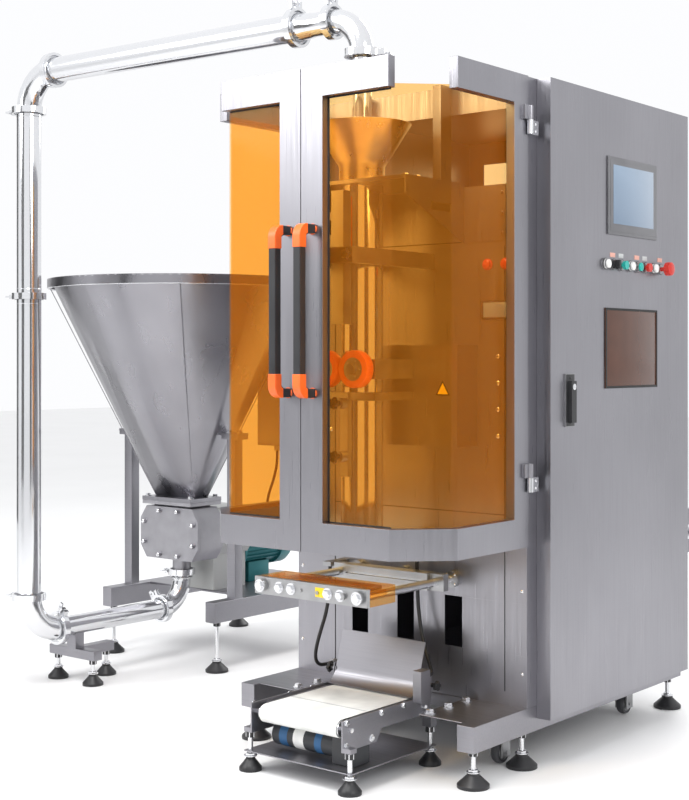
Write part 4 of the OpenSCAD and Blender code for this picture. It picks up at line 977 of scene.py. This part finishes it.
class LINE_OT_pipe_details(bpy.types.Operator):
    """Adds weld beads and gaskets to the pipes"""
    bl_idname = "line.pipe_details"
    bl_label = "Pipe details"

    def execute(self, context):
        bead = 0.9 * MM
        welds = bmesh.new()
        gaskets = bmesh.new()
        for z in (310, 1213, 1259, 1796):
            hoop(welds, place(PUMP_X, RISER_Y, z), "Z", 38.2 * MM, bead, 48, 6)
        for y in (290, -118):
            hoop(welds, place(PUMP_X, y, LOW_PIPE_Z), "Y", 31.9 * MM, bead, 48, 6)
        for z in (297, 1236, 1816):
            hoop(gaskets, place(PUMP_X, RISER_Y, z), "Z", 45.2 * MM, 1.1 * MM, 48, 6)
        finish_piece("pipe_welds", welds, "bright_steel", "machine")
        finish_piece("pipe_gaskets", gaskets, "white_cap", "machine")
        return {"FINISHED"}


class LINE_OT_pump_details(bpy.types.Operator):
    """Adds the finned motor, cover bolts, control box door and the flange bolts"""
    bl_idname = "line.pump_details"
    bl_label = "Pump station details"

    def execute(self, context):
        sizes = context.scene.line_sizes
        self.motor(sizes)
        self.bolts(sizes)
        self.box_door()
        return {"FINISHED"}

    def motor(self, sizes):
        low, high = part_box("pump_motor")
        centre = place(PUMP_X, 0, 360)
        start, end = low.y, high.y
        shell = bmesh.new()
        barrel = 75 * MM - sizes.fin
        hub = Vector((centre.x, start, centre.z))
        turned(shell, [(88 * MM, 0), (90 * MM, 2 * MM), (90 * MM, 10 * MM),
                       (86 * MM, 12 * MM), (barrel, 14 * MM), (barrel, 208 * MM),
                       (79 * MM, 209 * MM), (79 * MM, 258 * MM), (74 * MM, 268 * MM),
                       (60 * MM, end - start)], hub, "Y", 64)
        for i in range(sizes.fins):
            angle = math.tau * i / sizes.fins
            if abs(math.sin(angle) + 1) < 0.35:
                continue
            out = Vector((math.cos(angle), 0, math.sin(angle)))
            across = Vector((-math.sin(angle), 0, math.cos(angle))) * 1.2 * MM
            base = hub + Vector((0, 16 * MM, 0)) + out * (barrel - 1 * MM)
            slab(shell, [base - across, base + across,
                         base + across * 0.6 + out * (sizes.fin + 0.8 * MM),
                         base - across * 0.6 + out * (sizes.fin + 0.8 * MM)],
                 Vector((0, 190 * MM, 0)))
        finish_piece("motor_body", shell, "teal_paint", "machine",
                     ["pump_motor"])
        foot = bmesh.new()
        brick(foot, place(PUMP_X - 55, 690, 233), place(PUMP_X + 55, 800, 305), 0.003)
        brick(foot, place(PUMP_X, 690, 382), place(PUMP_X + 95, 800, 485), 0.004)
        brick(foot, place(PUMP_X - 2, 687, 455), place(PUMP_X + 95, 803, 462), 0.001)
        finish_piece("motor_boxes", foot, "teal_paint", "machine",
                     ["pump_motor"])
        vents = bmesh.new()
        back = end - 0.4 * MM
        for radius in (18, 30, 42, 54):
            hoop(vents, Vector((centre.x, back, centre.z)), "Y", radius * MM, 1.6 * MM,
                 40, 6)
        finish_piece("fan_guard", vents, "handle_black", "machine")

    def bolts(self, sizes):
        bm = bmesh.new()
        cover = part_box("pump_cover")[0].y
        for x in (-105, 105):
            for y in (-60, 60):
                hexagon(bm, place(PUMP_X + x, PUMP_Y + y, 562), "Z", sizes.bolt * 0.8, 0.009)
        for x in (-119, -45, 45, 119):
            for z in ((403, 473) if abs(x) > 50 else (362, 514)):
                spot = place(PUMP_X + x, 0, z)
                spot.y = cover
                dome(bm, spot, "Y", 8 * MM, 5 * MM, True)
        for x in (-40, 0, 40):
            for z in (260, 300):
                spot = place(PUMP_X + 126, 500 + x, z + 140)
                dome(bm, spot, "X", 0.006, 0.003)
        finish_piece("pump_bolts", bm, "bright_steel", "machine")

    def box_door(self):
        low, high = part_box("control_box")
        low = Vector((low.x, low.y, 0.725))
        bm = bmesh.new()
        brick(bm, Vector((low.x + 8 * MM, low.y - 4 * MM, low.z + 8 * MM)),
              Vector((high.x - 8 * MM, low.y, high.z - 8 * MM)), 0.002)
        finish_piece("box_door", bm, "grey_paint", "machine")
        knobs = bmesh.new()
        for x in (-1215, -1150, -1085):
            spot = place(x, 0, 1010)
            spot.y = low.y - 4 * MM
            turned(knobs, profile((14, 0), (14, 3), (10, 4), (10, 12), (7, 14)),
                   spot, "Y", 28, True)
        finish_piece("box_knobs", knobs, "handle_black", "machine")


class LINE_OT_hopper_details(bpy.types.Operator):
    """Adds the hopper's rolled rim, its seams and the lugs' bolts"""
    bl_idname = "line.hopper_details"
    bl_label = "Hopper details"

    def execute(self, context):
        sizes = context.scene.line_sizes
        low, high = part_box("hopper")
        centre = place(PUMP_X, PUMP_Y, 0)
        radius = (high.x - low.x) / 2
        rim = bmesh.new()
        hoop(rim, Vector((centre.x, centre.y, high.z - 2.5 * MM)), "Z",
             radius - 3 * MM, 3.2 * MM, 96, 10)
        hoop(rim, Vector((centre.x, centre.y, high.z - 30 * MM)), "Z",
             radius - 3 * MM, 2.4 * MM, 96, 10)
        finish_piece("rolled_rim", rim, "bright_steel", "machine")
        welds = bmesh.new()
        for side in (1, -1):
            for front in (1, -1):
                foot = centre + Vector((side * 91 * MM, front * 35 * MM, 563 * MM))
                out = 450 * MM * math.sqrt(0.5)
                top = centre + Vector((side * out, front * out, 1281 * MM))
                self.bead(welds, foot, top)
        finish_piece("hopper_seams", welds, "hopper_steel", "machine")
        caps = bmesh.new()
        for side in (1, -1):
            for dx in (-24, 24):
                hexagon(caps, place(PUMP_X + side * 255 + dx, PUMP_Y, 790), "Z",
                        sizes.bolt * 0.85, 0.01)
        finish_piece("lug_bolts", caps, "bright_steel", "machine")
        return {"FINISHED"}

    def bead(self, bm, foot, top):
        """A slim rounded bead from one point to another."""
        line = top - foot
        turn = line.to_track_quat("Z", "Y").to_matrix()
        rings = []
        for at_end in (foot, top):
            ring = []
            for k in range(8):
                angle = math.tau * k / 8
                ring.append(bm.verts.new(at_end + turn @ Vector(
                    (1.4 * MM * math.cos(angle), 1.4 * MM * math.sin(angle), 0))))
            rings.append(ring)
        skin(bm, rings)


# ---- conveyor, casters and feet ----

class LINE_OT_conveyor_details(bpy.types.Operator):
    """Adds the conveyor's bolts, motor bands, belt joint and star knobs"""
    bl_idname = "line.conveyor_details"
    bl_label = "Conveyor details"

    def execute(self, context):
        sizes = context.scene.line_sizes
        low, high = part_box("conveyor_belt")
        joint = bmesh.new()
        a = Vector((low.x + 2 * MM, place(0, -330, 0).y, high.z))
        brick(joint, a, Vector((high.x - 2 * MM, a.y + 6 * MM, high.z + 0.5 * MM)), 0.0002)
        finish_piece("belt_joint", joint, "label_grey", "machine")
        bands = bmesh.new()
        for x, wide in ((-96, 26), (20, 22)):
            centre = place(x, -375, 90)
            turned(bands, [(30.4 * MM, 0), (30.4 * MM, wide * MM)], centre, "X", 48)
        finish_piece("motor_bands", bands, "band_blue", "machine")
        label = bmesh.new()
        turned(label, profile((30.3, 0), (30.3, 34)), place(-50, -375, 90), "X", 48)
        finish_piece("motor_label", label, "white_cap", "machine")
        bolts = bmesh.new()
        for side in (1, -1):
            for y, z in ((-437, 168), (-340, 112), (-440, 112), (-210, 168), (-300, 168)):
                hexagon(bolts, place(side * 150, y, z), "X", sizes.bolt * 0.6, 0.006,
                        side < 0)
        finish_piece("conveyor_bolts", bolts, "bright_steel", "machine")
        knobs = bmesh.new()
        for side in (1, -1):
            star_knob(knobs, place(side * 164, -105, 202), "X", sizes.knob * 0.8, side < 0)
        finish_piece("chute_knobs", knobs, "handle_black", "chute")
        return {"FINISHED"}


class LINE_OT_casters(bpy.types.Operator):
    """Replaces the caster wheels with rimmed, tyred ones"""
    bl_idname = "line.casters"
    bl_label = "Casters"

    def execute(self, context):
        for name in ("front", "rear"):
            node = "caster_wheels_" + name
            low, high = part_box(node)
            axis_y, axis_z = (low.y + high.y) / 2, (low.z + high.z) / 2
            radius = (high.z - low.z) / 2
            tyres, hubs = bmesh.new(), bmesh.new()
            for x in (low.x, high.x - 29 * MM):
                foot = Vector((x, axis_y, axis_z))
                self.tyre(tyres, foot, radius)
                turned(hubs, profile((9, 0.5), (19, 3), (21, 4), (21, 25), (19, 26),
                                     (9, 28.5)), foot, "X", 36)
            body = "casters_" + name
            finish_piece("caster_tyres_" + name, tyres, "caster_grey", body,
                         [node])
            finish_piece("caster_hubs_" + name, hubs, "machined_alloy", body,
                         [node])
        return {"FINISHED"}

    def tyre(self, bm, foot, radius):
        outline = [(21 * MM, 3 * MM), (radius - 3 * MM, 3.5 * MM), (radius - 0.8 * MM, 7 * MM),
                   (radius, 11 * MM), (radius, 18 * MM), (radius - 0.8 * MM, 22 * MM),
                   (radius - 3 * MM, 25.5 * MM), (21 * MM, 26 * MM)]
        steps = 48
        rings = []
        for reach, along in outline:
            rings.append([bm.verts.new(foot + Vector((
                along, reach * math.cos(math.tau * i / steps),
                reach * math.sin(math.tau * i / steps)))) for i in range(steps)])
        skin(bm, rings, closed=True)


FOOT_SPOTS = [(x, y, 39.5) for x in (-358.5, 358.5) for y in (-205, 14.5, 825)]
FOOT_SPOTS += [(x, y, 37.5) for x in (-1535, -1025) for y in (322, 965)]
FOOT_SPOTS += [(-1365, -68, 32.5), (-1195, -68, 32.5), (-1280, 62, 32.5)]
FOOT_SPOTS += [(x, y, 28.5) for x in (-162, 162) for y in (-439, -112)]


class LINE_OT_feet(bpy.types.Operator):
    """Adds bright studs and pad rings to the levelling feet"""
    bl_idname = "line.feet"
    bl_label = "Levelling feet"

    def execute(self, context):
        studs, pads = bmesh.new(), bmesh.new()
        tops = {39.5: 90, 37.5: 165, 32.5: 80, 28.5: 98}
        for x, y, radius in FOOT_SPOTS:
            top = tops[radius]
            turned(studs, [(6.4 * MM, 0), (6.4 * MM, (top - 50) * MM)], place(x, y, 36),
                   "Z", 24)
            hexagon(studs, place(x, y, 36), "Z", 22 * MM, 8 * MM)
            turned(studs, profile((12.6, 0), (12.6, 13)), place(x, y, top - 13.6), "Z", 6)
            hoop(pads, place(x, y, 5), "Z", (radius - 2.4) * MM, 2.6 * MM, 40, 8)
        finish_piece("foot_studs", studs, "bright_steel", "machine")
        finish_piece("foot_pads", pads, "seal_black", "machine")
        return {"FINISHED"}


# ---- stage ----

class LINE_OT_stage(bpy.types.Operator):
    """Adds the pale floor and the soft lamps"""
    bl_idname = "line.stage"
    bl_label = "Stage"

    def execute(self, context):
        floor_finish, shader = blank_finish("pale_floor", (0.88, 0.88, 0.88), 0.0, 0.6)
        shade_noise = grain(floor_finish, 1.4, (1, 1, 1), 3.0)
        tint(floor_finish, shader, shade_noise, (0.87, 0.87, 0.87), (0.89, 0.89, 0.89))
        floor = self.board("floor", floor_finish, FLOOR_SIZE)
        floor.location.z = -SMALL_OFFSET
        world = context.scene.world or bpy.data.worlds.new("studio")
        context.scene.world = world
        world.use_nodes = True
        sky = world.node_tree.nodes["Background"]
        sky.inputs["Color"].default_value = (0.98, 0.985, 1.0, 1)
        sky.inputs["Strength"].default_value = 1.0
        target = place(-300, 200, 900)
        for name, spot, wide, power in (
                ("key_lamp", place(-2600, -3600, 3300), 2.6, 95),
                ("side_lamp", place(3600, -1200, 2800), 2.2, 45),
                ("rear_lamp", place(-900, 3900, 3400), 2.4, 90),
                ("inner_lamp", place(0, -1500, 3300), 1.4, 70)):
            data = bpy.data.lights.new(name, "AREA")
            data.shape = "DISK"
            data.size = wide
            data.energy = power
            lamp = bpy.data.objects.new(name, data)
            context.scene.collection.objects.link(lamp)
            lamp.location = spot
            lamp.rotation_euler = (target - spot).to_track_quat("-Z", "Y").to_euler()
        self.flags()
        context.scene.view_settings.view_transform = "Standard"
        return {"FINISHED"}

    def board(self, name, finish, size):
        """A square board of one finish that isn't part of the machine."""
        bm = bmesh.new()
        bmesh.ops.create_grid(bm, x_segments=1, y_segments=1, size=size / 2)
        mesh = bpy.data.meshes.new(name)
        bm.to_mesh(mesh)
        bm.free()
        mesh.materials.append(finish)
        board = bpy.data.objects.new(name, mesh)
        bpy.context.scene.collection.objects.link(board)
        return board

    def flags(self):
        """Dark boards beside the view, which give the steel its darker reflections."""
        finish, shader = blank_finish("flag_black", (0.03, 0.03, 0.03), 0.0, 0.9)
        tint(finish, shader, grain(finish, 2.0), (0.025,) * 3, (0.035,) * 3)
        for name, spot, wide, high in (("front_flag", place(-2000, -5400, 1500), 2.6, 2.6),
                                       ("right_flag", place(4600, -2600, 1400), 2.0, 2.6),
                                       ("left_flag", place(-4200, -600, 1300), 2.2, 2.2)):
            flag = self.board(name, finish, 1.0)
            flag.location = spot
            flag.scale = (wide, high, 1)
            aim = place(-300, 200, 1300) - spot
            flag.rotation_euler = aim.to_track_quat("-Z", "Y").to_euler()
            flag.visible_camera = False
            flag.visible_shadow = False


class LINE_PT_panel(bpy.types.Panel):
    """Settings and steps of the filling line"""
    bl_label = "Filling Line"
    bl_idname = "LINE_PT_panel"
    bl_space_type = "VIEW_3D"
    bl_region_type = "UI"
    bl_category = "Filling Line"

    def draw(self, context):
        for group in (context.scene.line_finish, context.scene.line_sizes):
            for name in group.__annotations__:
                self.layout.prop(group, name)
        for step in STEPS:
            self.layout.operator(step.bl_idname)


STEPS = (LINE_OT_camera, LINE_OT_cables, LINE_OT_finishes, LINE_OT_guard_details,
         LINE_OT_control_door, LINE_OT_wall_details, LINE_OT_forming_details,
         LINE_OT_jaw_details, LINE_OT_pipe_details, LINE_OT_pump_details,
         LINE_OT_hopper_details, LINE_OT_conveyor_details, LINE_OT_casters,
         LINE_OT_feet, LINE_OT_stage)
CLASSES = (LineFinish, LineSizes) + STEPS + (LINE_PT_panel,)


def register():
    for item in CLASSES:
        bpy.utils.register_class(item)
    bpy.types.Scene.line_finish = bpy.props.PointerProperty(type=LineFinish)
    bpy.types.Scene.line_sizes = bpy.props.PointerProperty(type=LineSizes)


def unregister():
    del bpy.types.Scene.line_sizes
    del bpy.types.Scene.line_finish
    for item in reversed(CLASSES):
        bpy.utils.unregister_class(item)


def main():
    register()
    for step in STEPS:
        group, name = step.bl_idname.split(".")
        getattr(getattr(bpy.ops, group), name)()
    bpy.context.view_layer.update()


if __name__ == "__main__":
    main()
